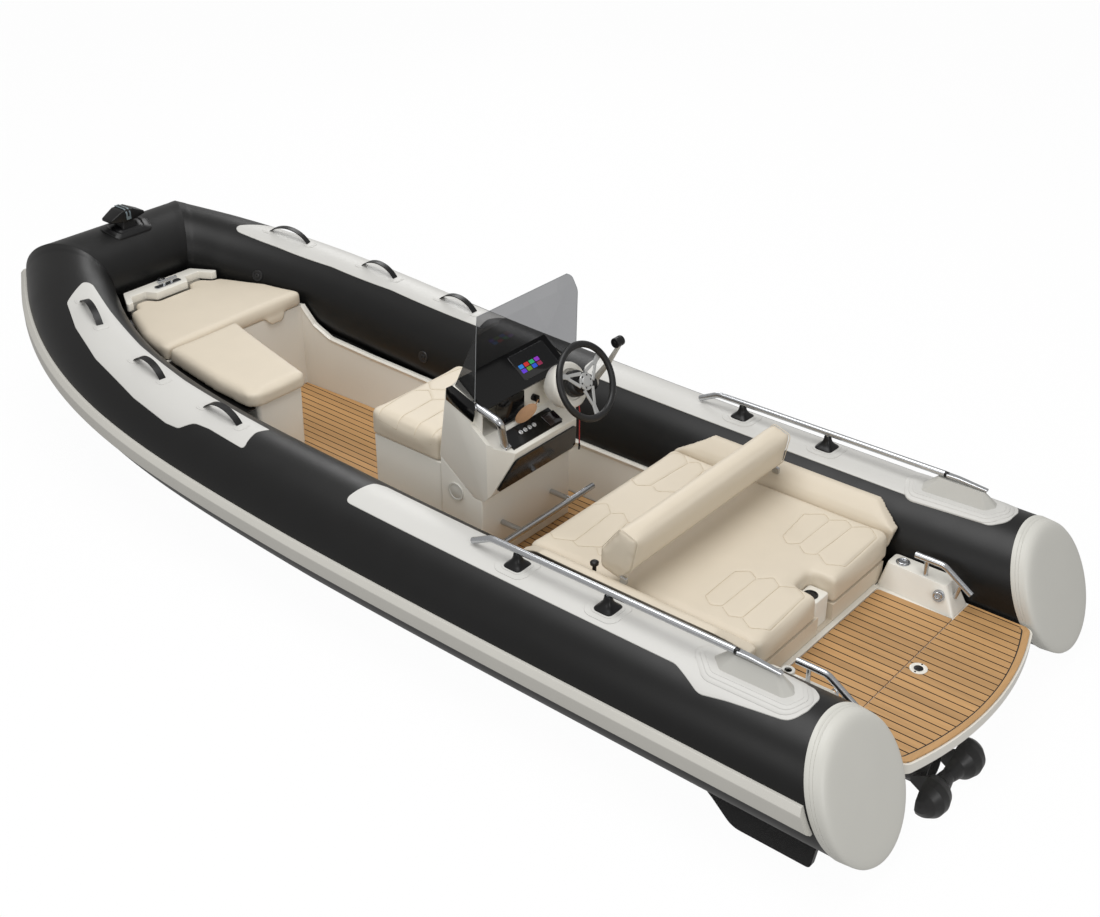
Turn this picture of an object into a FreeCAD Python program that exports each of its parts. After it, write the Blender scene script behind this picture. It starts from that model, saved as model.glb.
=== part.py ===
"""Jet-driven rigid inflatable tender, about 5.2 m long, as separate pieces.

Frame: X forward, Y to port, Z up, millimetres. The origin lies on the
centreline, on the waterline, beside the stern ends of the tubes.
"""
import FreeCAD, Part
import math
import os

os.makedirs("parts", exist_ok=True)
V = FreeCAD.Vector

# Buoyancy tubes
TUBE_R = 239.0
TUBE_Y = 741.0
TUBE_Z = 287.0
TUBE_AFT_X = 51.0
CAP_RAKE = 0.4455
BOW_X = 4774.0
BOW_R = 211.0
TAPER_X = 2464.0
BEND_X = 2800.0
BEND_IN = 404.0
BEND_POWER = 3.43
RISE_X = 200.0
RISE_UP = 322.0
RISE_POWER = 3.93
CAP_BAND = 55.0
PATCH_T = 3.0
STRAKE_H = 94.0
STRAKE_T = 28.0
FIT = 0.3

# Hull
KEEL_Z = -364.0
KEEL_RISE = 660.0
CHINE_Z = -144.0
CHINE_RISE = 464.0
CHINE_Y = 640.0
STEM_CHINE_Y = 170.0
HULL_TOP_Z = 4.0
HULL_TOP_RISE = 300.0
TRANSOM_X = 250.0
STEM_X = 4640.0
ENTRY_X = 2400.0
FIN_T = 26.0
FIN_Y = 612.0
FIN_BOTTOM_Z = -275.0

# Cockpit
SOLE_Z = 19.0
RIM_Z = 268.0
WALL_T = 12.0
WALL_FOOT_Y = 442.0
WALL_HEAD_Y = 490.0
BULKHEAD_X = 3924.0
TEAK_T = 6.0
PLANK_W = 38.0
CAULK_W = 4.0
CAULK_D = 2.0

# Stern platform
DECK_Z = 239.0
DECK_T = 40.0
DECK_Y = 498.0
DECK_FWD_X = 556.0
DECK_SEAM_X = 233.0
DECK_CORNER_X = -30.0
DECK_BULGE = 86.0
DECK_WELL_Y = 360.0
STERN_BLOCK_Z = 331.0
HANDLE_Y = 433.0
HANDLE_R = 13.0

# Jet
JET_Z = -172.0
NOZZLE_PIVOT_X = 158.0
BUCKET_PIVOT_X = 96.0

# Bow
BOW_TOP_Z = 570.0
CUSHION_T = 72.0
LID_TOP_Z = 536.0
LID_FWD_X = 4462.0
LID_AFT_X = 3914.0
EDGE_GAP = 6.0

# Helm
CONSOLE_Y = 287.0
CONSOLE_FWD_X = 2287.0
CONSOLE_FOOT_X = 2098.0
ARM_T = 20.0
LIP_X = 1945.0
LIP_Z = 584.0
LIP_Y = 197.0
CORNER_X = 2024.0
SHELF_X = 2060.0
SHELF_Z = 641.0
DASH_TOP_X = 2187.0
DASH_TOP_Z = 872.0
DASH_LOW_Z = 774.0
DASH_T = 12.0
SCREEN_T = 6.0
SCREEN_TOP_X = 2065.0
SCREEN_TOP_Z = 1186.0
WHEEL_R = 155.0
WHEEL_RIM_R = 13.5
WHEEL_C = V(1843.0, -134.0, 818.0)
WHEEL_TILT = 26.7
THROTTLE_PIVOT = V(1972.0, 0.0, 694.0)
SEAT_BOX_FWD_X = 2690.0
FRONT_SEAT_Z = 450.0
FRONT_CUSHION_T = 124.0

# Aft seat
SEAT_TOP_Z = 431.0
SEAT_T = 110.0
SEAT_FWD_X = 1641.0
SEAT_AFT_X = 578.0
SEAT_Y = 486.0
COAMING_TOP_Z = 498.0
COAMING_GAP = 10.0
BACK_Y = 520.0
BACK_PIVOT_X = 1150.0
BACK_PIVOT_Z = 492.0
ARM_PLATE_T = 6.0
NOTCH_X = 688.0
NOTCH_PORT_Y = 62.0
NOTCH_STBD_Y = -46.0

# Rails along the tube tops
RAIL_Y = 745.0
RAIL_Z = 598.0
RAIL_R = 13.0
RAIL_POSTS_X = (1464.0, 1043.0)
STRAP_W = 32.0
STRAP_T = 5.0
STRAP_RISE = 42.0

# Engine-stop lanyard: its route hangs over the corner of the console
CORD_R = 2.5
CORD_ROUTE = [V(2006, -258, 636), V(1996, -265, 628), V(1989, -270, 606), V(1987, -274, 566),
              V(1990, -276, 512), V(1988, -274, 458), V(1990, -276, 414)]


def corner_points(points, radius):
    """Yield (entry, middle, exit) of the round at each corner of a closed outline."""
    count = len(points)
    for i in range(count):
        here = points[i]
        r = here[2] if len(here) > 2 else radius
        px, py = points[i - 1][:2]
        nx, ny = points[(i + 1) % count][:2]
        x, y = here[:2]
        before = math.hypot(px - x, py - y)
        after = math.hypot(nx - x, ny - y)
        ux, uy = (px - x) / before, (py - y) / before
        vx, vy = (nx - x) / after, (ny - y) / after
        half = 0.5 * math.acos(max(-1.0, min(1.0, ux * vx + uy * vy)))
        if r <= 0.0 or abs(half - math.pi / 2) < 1e-4:
            yield (x, y), None, (x, y)
            continue
        back = min(r / math.tan(half), 0.49 * before, 0.49 * after)
        r = back * math.tan(half)
        mx, my = ux + vx, uy + vy
        size = math.hypot(mx, my)
        reach = r / math.sin(half) - r
        yield ((x + ux * back, y + uy * back), (x + mx / size * reach, y + my / size * reach),
               (x + vx * back, y + vy * back))


def lift(plane, a, b, offset):
    """A point of a drawing plane, moved off it by offset."""
    if plane == "xy":
        return V(a, b, offset)
    if plane == "xz":
        return V(a, offset, b)
    return V(offset, a, b)


def outline(plane, points, offset=0.0, radius=0.0):
    """Closed wire through points, with round corners of the given radius."""
    corners = list(corner_points(points, radius))
    edges = []
    for i, (enter, middle, leave) in enumerate(corners):
        if middle:
            arc = [lift(plane, *p, offset) for p in (enter, middle, leave)]
            edges.append(Part.Arc(*arc).toShape())
        start = lift(plane, *leave, offset)
        end = lift(plane, *corners[(i + 1) % len(corners)][0], offset)
        if start.distanceToPoint(end) > 1e-6:
            edges.append(Part.LineSegment(start, end).toShape())
    return Part.Wire(edges)


def slab(plane, points, start, end, radius=0.0):
    """Prism of an outline between two offsets of its plane."""
    travel = lift(plane, 0.0, 0.0, end - start)
    return Part.Face(outline(plane, points, start, radius)).extrude(travel)


def block(x0, x1, y0, y1, z0, z1, radius=0.0):
    """Upright block, with its four vertical edges rounded."""
    return slab("xy", [(x0, y0), (x1, y0), (x1, y1), (x0, y1)], z0, z1, radius)


def soften(solid, radius, above):
    """Round the edges of a solid that lie above a height."""
    return solid.makeFillet(radius, [e for e in solid.Edges if e.BoundBox.ZMin > above])


def rod(start, end, radius):
    """Round bar from one point to another."""
    axis = end - start
    return Part.makeCylinder(radius, axis.Length, start, axis)


def bent_bar(points, radius, bend=None):
    """Round bar along straight runs joined by tangent bends, of one radius or as large as fits."""
    edges = []
    last = points[0]
    for before, here, after in zip(points, points[1:-1], points[2:]):
        back_in = (before - here).normalize()
        out = (after - here).normalize()
        half = 0.5 * back_in.getAngle(out)
        room = 0.45 * min(before.distanceToPoint(here), after.distanceToPoint(here))
        back = room if bend is None else bend / math.tan(half)
        size = back * math.tan(half)
        middle = here + (back_in + out).normalize() * (size / math.sin(half) - size)
        edges.append(Part.LineSegment(last, here + back_in * back).toShape())
        edges.append(Part.Arc(here + back_in * back, middle, here + out * back).toShape())
        last = here + out * back
        if bend is None:
            print("cord bend radius", round(size, 1))
    edges.append(Part.LineSegment(last, points[-1]).toShape())
    ring = Part.makeCircle(radius, points[0], points[1] - points[0])
    return Part.Wire(edges).makePipeShell([Part.Wire([ring])], True, False)


def starboard(shape):
    """The mirror image of a port piece."""
    return shape.mirror(V(0, 0, 0), V(0, 1, 0))


def both(shape):
    """A port piece and its mirror image, as one pair."""
    return Part.makeCompound([shape, starboard(shape)])


def mirrored(points):
    """A half outline in plan and its mirror image across the centreline, as one closed outline."""
    return points + [(p[0], -p[1], *p[2:]) for p in reversed(points)]


def mirrored_front(points):
    """The same for a half outline seen from ahead, whose points start with Y."""
    return points + [(-p[0], *p[1:]) for p in reversed(points)]


BODY = []


def save(name, shape):
    """Write one sub-part."""
    shape.exportStep("parts/" + name + ".step")
    BODY.append(name)


# Tubes: straight aft, then in and up to the bow corner, a little thinner there
def axis_point(x):
    bend = max(0.0, (x - BEND_X) / (BOW_X - BEND_X))
    rise = max(0.0, (x - RISE_X) / (BOW_X - RISE_X))
    return V(x, TUBE_Y - BEND_IN * bend ** BEND_POWER, TUBE_Z + RISE_UP * rise ** RISE_POWER)


def tube_radius(x):
    share = max(0.0, (x - TAPER_X) / (BOW_X - TAPER_X))
    return TUBE_R + (BOW_R - TUBE_R) * share


def axis_frame(x):
    """Point, outboard direction and upward direction of the port tube axis."""
    ahead = (axis_point(x + 1.0) - axis_point(x - 1.0)).normalize()
    out = V(-ahead.y, ahead.x, 0.0).normalize()
    return axis_point(x), out, ahead.cross(out)


BOW_CORNER = axis_point(BOW_X)
MITRE = (BOW_CORNER - axis_point(BOW_X - 1.0)).normalize() + V(0, -1, 0)
STATIONS = [TUBE_AFT_X + (BOW_X - TUBE_AFT_X) * share
            for share in (0.10, 0.20, 0.30, 0.39, 0.48, 0.58, 0.67, 0.75, 0.82, 0.885, 0.945)]


def side_point(x, out, up):
    point, outward, upward = axis_frame(x)
    return point + outward * out + upward * up


def aft_point(x, out, up):
    """Point of a section cut on the raked plane of the tube end."""
    return V(x + CAP_RAKE * up, TUBE_Y + out, TUBE_Z + up)


def mitre_point(out, up, side=1):
    """Point of the bow corner's mitre plane that lies ahead of the bow tube's axis by out."""
    y = BOW_CORNER.y - (MITRE.x * out + MITRE.z * up) / MITRE.y
    return V(BOW_CORNER.x + out, side * y, BOW_CORNER.z + up)


def closed_curve(points):
    curve = Part.BSplineCurve()
    curve.interpolate(Points=points, PeriodicFlag=True)
    return Part.Wire([curve.toShape()])


def ring(radius, steps=12):
    """Offsets (out, up) of points round a circle."""
    turn = 2.0 * math.pi / steps
    return [(radius * math.cos(i * turn), radius * math.sin(i * turn)) for i in range(steps)]


def tube_side(extra=0.0):
    """The port tube as a solid, from its raked end to the mitre, thicker by extra."""
    wires = [closed_curve([aft_point(TUBE_AFT_X, *p) for p in ring(TUBE_R + extra)])]
    wires += [closed_curve([side_point(x, *p) for p in ring(tube_radius(x) + extra)]) for x in STATIONS]
    wires.append(closed_curve([mitre_point(*p) for p in ring(BOW_R + extra)]))
    return Part.makeLoft(wires, True, False)


def tube_bow(extra=0.0):
    """The chamber across the bow, between the two mitre planes."""
    ends = [closed_curve([mitre_point(*p, side) for p in ring(BOW_R + extra)]) for side in (1, -1)]
    return Part.makeLoft(ends, True, True)


def make_tubes():
    port = tube_side()
    save("tube_port", port)
    save("tube_starboard", starboard(port))
    save("tube_bow", tube_bow())


def make_end_caps():
    """Pale cone caps on the raked tube ends: a tapered band, a seam and a nearly flat face."""
    steps = [(TUBE_AFT_X, TUBE_R + PATCH_T), (TUBE_AFT_X - CAP_BAND, TUBE_R - 5.0),
             (TUBE_AFT_X - CAP_BAND - 8.0, TUBE_R - 11.0), (TUBE_AFT_X - CAP_BAND - 14.0, TUBE_R - 40.0),
             (TUBE_AFT_X - CAP_BAND - 18.0, TUBE_R - 110.0)]
    rings = [closed_curve([aft_point(x, *p) for p in ring(r)]) for x, r in steps]
    save("end_caps", both(Part.makeLoft(rings, True, True)))


def make_strakes():
    """Rubbing band: a flat outer face between two bevels, along the outside of the tubes."""
    half = 0.5 * STRAKE_H
    profile = [(-12.0, half), (8.0, half), (STRAKE_T, half - 22.0), (STRAKE_T, 14.0 - half), (8.0, -half),
               (-12.0, -half)]

    def section(place, radius, *side):
        points = [place(radius + out, up, *side) for out, up in profile]
        return Part.makePolygon(points + points[:1])

    wires = [section(lambda out, up: aft_point(TUBE_AFT_X + 12.0, out, up), TUBE_R)]
    wires += [section(lambda out, up, x=x: side_point(x, out, up), tube_radius(x)) for x in STATIONS]
    wires.append(section(mitre_point, BOW_R))
    save("strakes", both(Part.makeLoft(wires, True, False).cut(tube_side(FIT))))
    bow = Part.makeLoft([section(mitre_point, BOW_R, side) for side in (1, -1)], True, True)
    save("strake_bow", bow.cut(tube_bow(FIT)))


def make_patches():
    """Pale reinforcing patches, glued to the tops of the tubes: (x, share of the radius, round)."""
    fore = [(4500, -0.36, 30), (4216, -0.45, 200), (3884, -0.42, 200), (3500, -0.37, 200), (2916, -0.33, 5),
            (2924, -0.05, 60), (2904, 0.22, 40), (2884, 0.40, 25), (3110, 0.38, 60), (3196, 0.42, 60),
            (3250, 0.63, 40), (3330, 0.66, 60), (3568, 0.62, 150), (3908, 0.53, 200), (4152, 0.43, 200),
            (4335, 0.31, 50)]
    aft = [(2292, 0.38, 30), (2284, -0.30, 25), (2230, -0.39, 60), (260, -0.40, 60), (206, -0.20, 60),
           (204, 0.15, 60), (232, 0.42, 70), (460, 0.53, 100), (560, 0.60, 70), (640, 0.46, 60), (690, 0.38, 60)]
    thick, tube = tube_side(PATCH_T), tube_side(FIT)
    for name, points in (("patches_forward", fore), ("patches_aft", aft)):
        plan = []
        for x, share, r in points:
            spot = side_point(x, share * tube_radius(x), 0.0)
            plan.append((spot.x, spot.y, r))
        save(name, both(thick.common(slab("xy", plan, TUBE_Z + 40.0, TUBE_Z + 900.0)).cut(tube)))


def make_hull():
    """Deep-V lower moulding with a gunwale that cradles the tubes, keel and chine rising to the stem."""
    def section(x):
        share = max(0.0, (x - ENTRY_X) / (STEM_X - ENTRY_X))
        keel = KEEL_Z + KEEL_RISE * share ** 3.0
        chine_y = CHINE_Y - (CHINE_Y - STEM_CHINE_Y) * share ** 2.5
        chine_z = CHINE_Z + CHINE_RISE * share ** 4.0
        top = HULL_TOP_Z + HULL_TOP_RISE * max(0.0, (x - BULKHEAD_X - 16.0) / (STEM_X - BULKHEAD_X - 16.0))
        axis, r = axis_point(x), tube_radius(x)
        half = [(0.0, keel), (0.93 * chine_y, chine_z - 6.0), (chine_y, chine_z),
                (axis.y - 0.42 * r, axis.z - 0.96 * r), (axis.y - 0.38 * r, axis.z - 0.78 * r),
                (axis.y - 0.80 * r, axis.z - 0.42 * r), (axis.y - 0.90 * r, axis.z - 0.50 * r),
                (axis.y - 0.90 * r, top)]
        points = half + [(-y, z) for y, z in reversed(half[1:])]
        return Part.makePolygon([V(x, y, z) for y, z in points + points[:1]])

    places = [TRANSOM_X, 1200.0, ENTRY_X, 3000.0, 3450.0, BULKHEAD_X + 16.0, 4300.0, STEM_X]
    hull = Part.makeLoft([section(x) for x in places], True, True)
    tube = tube_side(FIT)
    hull = hull.cut(tube).cut(starboard(tube)).cut(tube_bow(FIT))
    save("hull", hull)
    side = [(184, CHINE_Z + 10, 0), (207, FIN_BOTTOM_Z, 20), (537, FIN_BOTTOM_Z, 90), (628, -190, 60),
            (700, CHINE_Z + 10, 0)]
    save("stern_fins", both(slab("xz", side, FIN_Y, FIN_Y + FIN_T).cut(hull)))
    return hull


def rim_height(x):
    """Height of the cockpit rim, which sweeps up to the bow locker at the bulkhead."""
    lift_off = max(0.0, (x - 3000.0) / (BULKHEAD_X - 3000.0))
    return RIM_Z + 40.0 * lift_off + (LID_TOP_Z - CUSHION_T - RIM_Z - 40.0) * lift_off ** 12


FOOT_IN = [(2900.0, 0.0, 0.0), (3500.0, 7.0, 14.0), (3760.0, 17.0, 34.0), (3860.0, 22.0, 48.0),
           (BULKHEAD_X, 26.0, 66.0)]


def cockpit_plan(inset, aft, fore):
    """Plan of the cockpit floor, inset from the feet of the side walls."""
    half = [(aft, WALL_FOOT_Y - inset)]
    half += [(min(x, fore), WALL_FOOT_Y - foot - inset) for x, foot, head in FOOT_IN]
    return mirrored(half)


def make_liner(hull):
    """Cockpit moulding: sole, side walls with a rolled rim, bulkhead and bow locker."""
    save("liner_sole", slab("xy", cockpit_plan(0.0, SEAT_AFT_X + 60.0, BULKHEAD_X), HULL_TOP_Z, SOLE_Z))
    walls = []
    low = HULL_TOP_Z
    for x, foot_in, head_in in [(SEAT_AFT_X + 60.0, 0.0, 0.0)] + FOOT_IN:
        foot, head = WALL_FOOT_Y - foot_in, WALL_HEAD_Y - head_in
        top = rim_height(x) - FIT
        points = [(foot, low), (foot, SOLE_Z + 1.0), (head - 2.0, top - 26.0), (head - 8.0, top - 8.0),
                  (head + 2.0, top), (head + 20.0, top - 2.0), (head + 22.0, top - 24.0),
                  (head + WALL_T, top - 34.0), (foot + WALL_T, low)]
        walls.append(Part.makePolygon([V(x, y, z) for y, z in points + points[:1]]))
    side = Part.makeLoft(walls, True, True).cut(tube_side(FIT))
    locker = []
    for x, foot, head, low in ((BULKHEAD_X, WALL_FOOT_Y - 26.0, WALL_HEAD_Y - 66.0, HULL_TOP_Z),
                               (4360.0, 250.0, 290.0, 170.0)):
        top = LID_TOP_Z - CUSHION_T - FIT
        points = [(foot, low), (head, top), (head + WALL_T, top), (foot + WALL_T, low)]
        locker.append(Part.makePolygon([V(x, y, z) for y, z in points + points[:1]]))
    side = side.fuse(Part.makeLoft(locker, True, True).cut(tube_side(FIT)))
    foot, head = WALL_FOOT_Y - 26.0, WALL_HEAD_Y - 66.0
    top = LID_TOP_Z - CUSHION_T - FIT
    bulk = slab("yz", mirrored_front([(foot, HULL_TOP_Z), (head, top)]), BULKHEAD_X, BULKHEAD_X + WALL_T)
    save("liner_walls", side.fuse(starboard(side)).fuse(bulk).cut(hull).removeSplitter())


def planked(panel, top_z):
    """A panel with caulked seams cut along it, evenly spaced from the centreline."""
    reach = panel.BoundBox
    count = int(reach.YMax / PLANK_W)
    grooves = []
    for i in range(-count - 1, count + 1):
        y = (i + 0.5) * PLANK_W - 0.5 * CAULK_W
        if reach.YMin < y - CAULK_W and y + 2 * CAULK_W < reach.YMax:
            grooves.append(Part.makeBox(reach.XLength + 20, CAULK_W, CAULK_D + 1,
                                        V(reach.XMin - 10, y, top_z - CAULK_D)))
    return panel.cut(Part.makeCompound(grooves))


def make_cockpit_teak():
    half = WALL_FOOT_Y - 4.0
    plan = cockpit_plan(WALL_FOOT_Y - half, SEAT_FWD_X - 20.0, BULKHEAD_X - 4.0)
    top = SOLE_Z + TEAK_T
    save("cockpit_teak", planked(slab("xy", plan, SOLE_Z, top), top))


def deck_plan(inset, seam, z, height):
    """Stern platform plate with its bowed aft edge and round corners."""
    y = DECK_Y - inset
    x = DECK_CORNER_X + inset
    arc = Part.Arc(V(x, y, z), V(x - DECK_BULGE, 0, z), V(x, -y, z)).toShape()
    points = [V(x, -y, z), V(seam, -y, z), V(seam, y, z), V(x, y, z)]
    lines = [Part.LineSegment(a, b).toShape() for a, b in zip(points, points[1:])]
    plate = Part.Face(Part.Wire([arc] + lines)).extrude(V(0, 0, height))
    corners = [e for e in plate.Edges if e.BoundBox.ZLength > 0.5 * height and e.BoundBox.XMax < x + 1.0]
    return plate.makeFillet(46.0 - inset, corners)


def make_platform(hull):
    """Stern deck moulding under the planking, with its curved pale edge and the well ahead of it."""
    base = DECK_Z - TEAK_T
    shelf = deck_plan(0.0, DECK_SEAM_X + 60.0, base - DECK_T, DECK_T)
    middle = block(DECK_SEAM_X, SEAT_AFT_X - 1.0, -DECK_Y, DECK_Y, base - DECK_T, base)
    body = block(TRANSOM_X, SEAT_AFT_X - 1.0, -DECK_Y, DECK_Y, HULL_TOP_Z, base - DECK_T + 1.0)
    rim = block(DECK_FWD_X, SEAT_AFT_X - 1.0, -DECK_WELL_Y - 10, DECK_WELL_Y + 10, base - 1.0, base + 10.0)
    save("platform", shelf.fuse(middle).fuse(body).fuse(rim).cut(hull).removeSplitter())
    aft = deck_plan(8.0, DECK_SEAM_X - 2.5, base, TEAK_T)
    fore = slab("xy", mirrored([(DECK_SEAM_X + 2.5, DECK_WELL_Y), (DECK_FWD_X - 3.0, DECK_WELL_Y - 4, 12)]),
                base, DECK_Z)
    save("platform_teak", Part.makeCompound([planked(aft, DECK_Z), planked(fore, DECK_Z)]))
    top = base - DECK_T - FIT
    plate = slab("xz", [(-104, top), (-62, top), (-24, top - 84), (-66, top - 84)], -130.0, 20.0, 6.0)
    save("ladder_plate", plate)


def make_stern_mouldings():
    """Blocks between the platform and the tubes, with handles, lifting rings, pad eyes and a staff socket."""
    base = DECK_Z - TEAK_T + FIT
    top = STERN_BLOCK_Z
    foot = [(DECK_SEAM_X + 4, DECK_WELL_Y + 8), (SEAT_AFT_X - 2, DECK_WELL_Y + 26), (SEAT_AFT_X - 2, DECK_Y - 2),
            (DECK_SEAM_X + 4, DECK_Y - 2)]
    head = [(300, 412), (SEAT_AFT_X - 20, 420), (SEAT_AFT_X - 20, DECK_Y), (300, DECK_Y)]
    solid = Part.makeLoft([outline("xy", foot, base, 14), outline("xy", head, top, 14)], True, True)
    socket = V(487, 420, top)
    bore = Part.makeCylinder(13.0, 60.0, socket - V(0, 0, 60), V(0, 0, 1))
    port = solid.cut(bore)
    save("stern_mouldings", Part.makeCompound([port, starboard(solid)]))
    y = HANDLE_Y
    handle = bent_bar([V(448, y, 405), V(326, y, 405), V(204, y, 324)], HANDLE_R, 60.0)
    posts = rod(V(399, y, top + FIT), V(399, y, 405), 9.0).fuse(rod(V(268, y, 284), V(250, y, 352), 9.0))
    save("stern_handles", both(handle.fuse(posts.cut(solid))))
    seat = Part.makeCylinder(28, 3, V(507, 456, top + FIT))
    lifting = seat.fuse(Part.makeTorus(20, 4, V(507, 456, top + 5), V(0, 0, 1)))
    lean = V(0, -0.927, 0.375)
    eye_seat = V(316, 396, 291)
    eye_plate = Part.makeCylinder(24, 16, eye_seat - lean * 8, lean).cut(solid)
    eye = Part.makeTorus(15, 4, eye_seat + lean * 14, V(0.35, 0.9, 0.2)).cut(solid)
    collar = Part.makeCylinder(19, 6, socket + V(0, 0, FIT), V(0, 0, 1))
    collar = collar.cut(Part.makeCylinder(13, 10, socket, V(0, 0, 1)))
    latch = Part.makeCylinder(30, 2.0, V(187, 0, DECK_Z + FIT))
    save("deck_fittings", Part.makeCompound([lifting, starboard(lifting), eye_plate.fuse(eye),
                                             starboard(eye_plate.fuse(eye)), collar, latch]))


def make_jet():
    """Jet outlet below the platform: housing on the transom, steering nozzle and reversing bucket."""
    def along(x, z=JET_Z, y=0.0):
        return V(x, y, z)

    aft = V(-1, 0, 0)
    pivot = NOZZLE_PIVOT_X
    housing = Part.makeCone(104, 52, 50, along(TRANSOM_X), aft).fuse(
        Part.makeCylinder(52, 26, along(TRANSOM_X - 49), aft))
    housing = housing.fuse(Part.makeCylinder(128, 12, along(TRANSOM_X), aft))
    for side in (1, -1):
        arm = Part.makeBox(16, 28, 50, along(TRANSOM_X - 52, JET_Z + (44 if side > 0 else -94), -14))
        lug = Part.makeBox(pivot + 58, 28, 9.7, V(pivot - 12, -14, JET_Z + (84.3 if side > 0 else -94)))
        lug = lug.common(Part.makeBox(68, 28, 400, V(pivot - 12, -14, JET_Z - 200)))
        housing = housing.fuse(arm).fuse(lug)
    save("jet_housing", housing.cut(Part.makeCylinder(44, 200, along(TRANSOM_X + 20), aft)))
    nozzle = Part.makeCone(80, 58, 96, along(pivot + 8), aft)
    inner = Part.makeCone(72, 50, 97, along(pivot + 8.5), aft)
    nozzle = nozzle.cut(inner)
    for side in (1, -1):
        nozzle = nozzle.fuse(rod(V(pivot, 0, JET_Z + side * 74), V(pivot, 0, JET_Z + side * 84), 11.0))
        nozzle = nozzle.fuse(rod(V(BUCKET_PIVOT_X, side * 60, JET_Z), V(BUCKET_PIVOT_X, side * 91.7, JET_Z), 13.0))
    save("steering_nozzle", nozzle)
    def turned(profile):
        """Solid of (y, radius) points turned about the line across the middle of the bowls."""
        line = along(BUCKET_PIVOT_X - 80.0, JET_Z - 6.0)
        edge = [line + V(0, -y, r) for y, r in reversed(profile)] + [line + V(0, y, r) for y, r in profile[1:]]
        return Part.Face(Part.makePolygon(edge + edge[:1])).revolve(line, V(0, 1, 0), 360)

    hollow = turned([(0, 22), (60, 36), (95, 62), (130, 72), (165, 68), (192, 50), (206, 24), (208, 0)])
    shell = turned([(0, 30), (60, 44), (95, 70), (130, 80), (165, 76), (195, 56), (213, 28), (216, 0)])
    bucket = shell.cut(hollow).cut(Part.makeBox(200, 600, 300, V(BUCKET_PIVOT_X - 62.0, -300, JET_Z - 150)))
    x = BUCKET_PIVOT_X - 76.0
    for side in (1, -1):
        ear = slab("xz", [(BUCKET_PIVOT_X + 16, JET_Z + 14, 14), (x, JET_Z + 58), (x, JET_Z - 70),
                          (BUCKET_PIVOT_X + 16, JET_Z - 14, 14)], side * 92.0, side * 100.0)
        bucket = bucket.fuse(ear)
    save("reverse_bucket", bucket)
    save("engine", block(720, 1400, -260, 260, SOLE_Z + FIT, 300, 20))


def make_bow(hull):
    """Bow moulding with its cleat, the locker lid cushion and the side seat."""
    tongue_in, tongue_out, well_x, ear_x = 95.0, 245.0, LID_FWD_X - 58.0, LID_FWD_X - 62.0
    fore = [(4528, 210, 18), (ear_x - 8, 288, 10), (ear_x, tongue_out, 6), (LID_FWD_X, 211, 8), (LID_FWD_X, 126, 8),
            (well_x, tongue_in, 8)]
    top_plate = slab("xy", mirrored(fore), LID_TOP_Z - 6.0, BOW_TOP_Z)
    under = slab("xy", mirrored([(4528, 196), (LID_FWD_X + 4, 220)]), 240.0, LID_TOP_Z)
    save("bow_moulding", top_plate.fuse(under).cut(hull).removeSplitter())
    z = BOW_TOP_Z + FIT
    plate = slab("xy", [(4432, -84, 12), (4466, -84, 12), (4466, 70, 12), (4432, 70, 12)], z, z + 5)
    bar = rod(V(4449, -62, z + 24), V(4449, 48, z + 24), 8.0)
    for y in (-30, 16):
        bar = bar.fuse(rod(V(4449, y, z + 4), V(4449, y, z + 24), 8.0))
    eye = Part.makeCylinder(22, 12, V(4500, -6, z)).cut(Part.makeCylinder(11, 14, V(4500, -6, z)))
    save("bow_cleat", Part.makeCompound([plate.fuse(bar), eye]))
    z0, z1 = LID_TOP_Z - CUSHION_T, LID_TOP_Z
    gap = EDGE_GAP
    lid = [(LID_AFT_X, 436, 34), (4143, 390, 150), (4300, 322, 150), (ear_x - 14, 284, 12),
           (ear_x - gap, tongue_out - 4, 6), (LID_FWD_X - gap, 211 - gap, 10), (LID_FWD_X - gap, 126 + gap, 10),
           (well_x - gap, tongue_in + 4, 10)]
    cushion = soften(slab("xy", mirrored(lid), z0, z1), 20.0, z1 - 1)
    tab = slab("yz", [(-175, z0 + 2), (-310, z0 + 2), (-286, z0 - 34), (-198, z0 - 34)], LID_AFT_X - 5, LID_AFT_X + 2, 5.0)
    save("bow_lid_cushion", cushion.fuse(tab))
    side = [(3228, 172, 40), (3228, 496, 60), (3500, 484, 150), (LID_AFT_X - gap, 424, 30), (LID_AFT_X - gap, 10, 20)]
    save("side_cushion", soften(slab("xy", side, z0, z1), 20.0, z1 - 1))
    floor = SOLE_Z + TEAK_T + FIT
    box_foot = outline("xy", [(3262, 186, 20), (3262, 424, 20), (BULKHEAD_X - 2, 404, 10), (BULKHEAD_X - 2, 40, 10)], floor)
    box_head = outline("xy", [(3246, 190, 20), (3246, 452, 20), (BULKHEAD_X - 2, 404, 10), (BULKHEAD_X - 2, 40, 10)],
                       z0 - FIT)
    save("side_box", Part.makeLoft([box_foot, box_head], True, True))


def make_front_seat():
    floor = SOLE_Z + TEAK_T + FIT
    y = CONSOLE_Y
    save("front_seat_box", block(CONSOLE_FWD_X + FIT, SEAT_BOX_FWD_X, 8 - y, y - 8, floor, FRONT_SEAT_Z, 12))
    z0 = FRONT_SEAT_Z + FIT
    pad = block(CONSOLE_FWD_X + EDGE_GAP, SEAT_BOX_FWD_X + 16, -y, y, z0, z0 + FRONT_CUSHION_T, 36)
    save("front_seat_cushion", soften(pad, 24.0, z0 + FRONT_CUSHION_T - 1))


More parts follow.
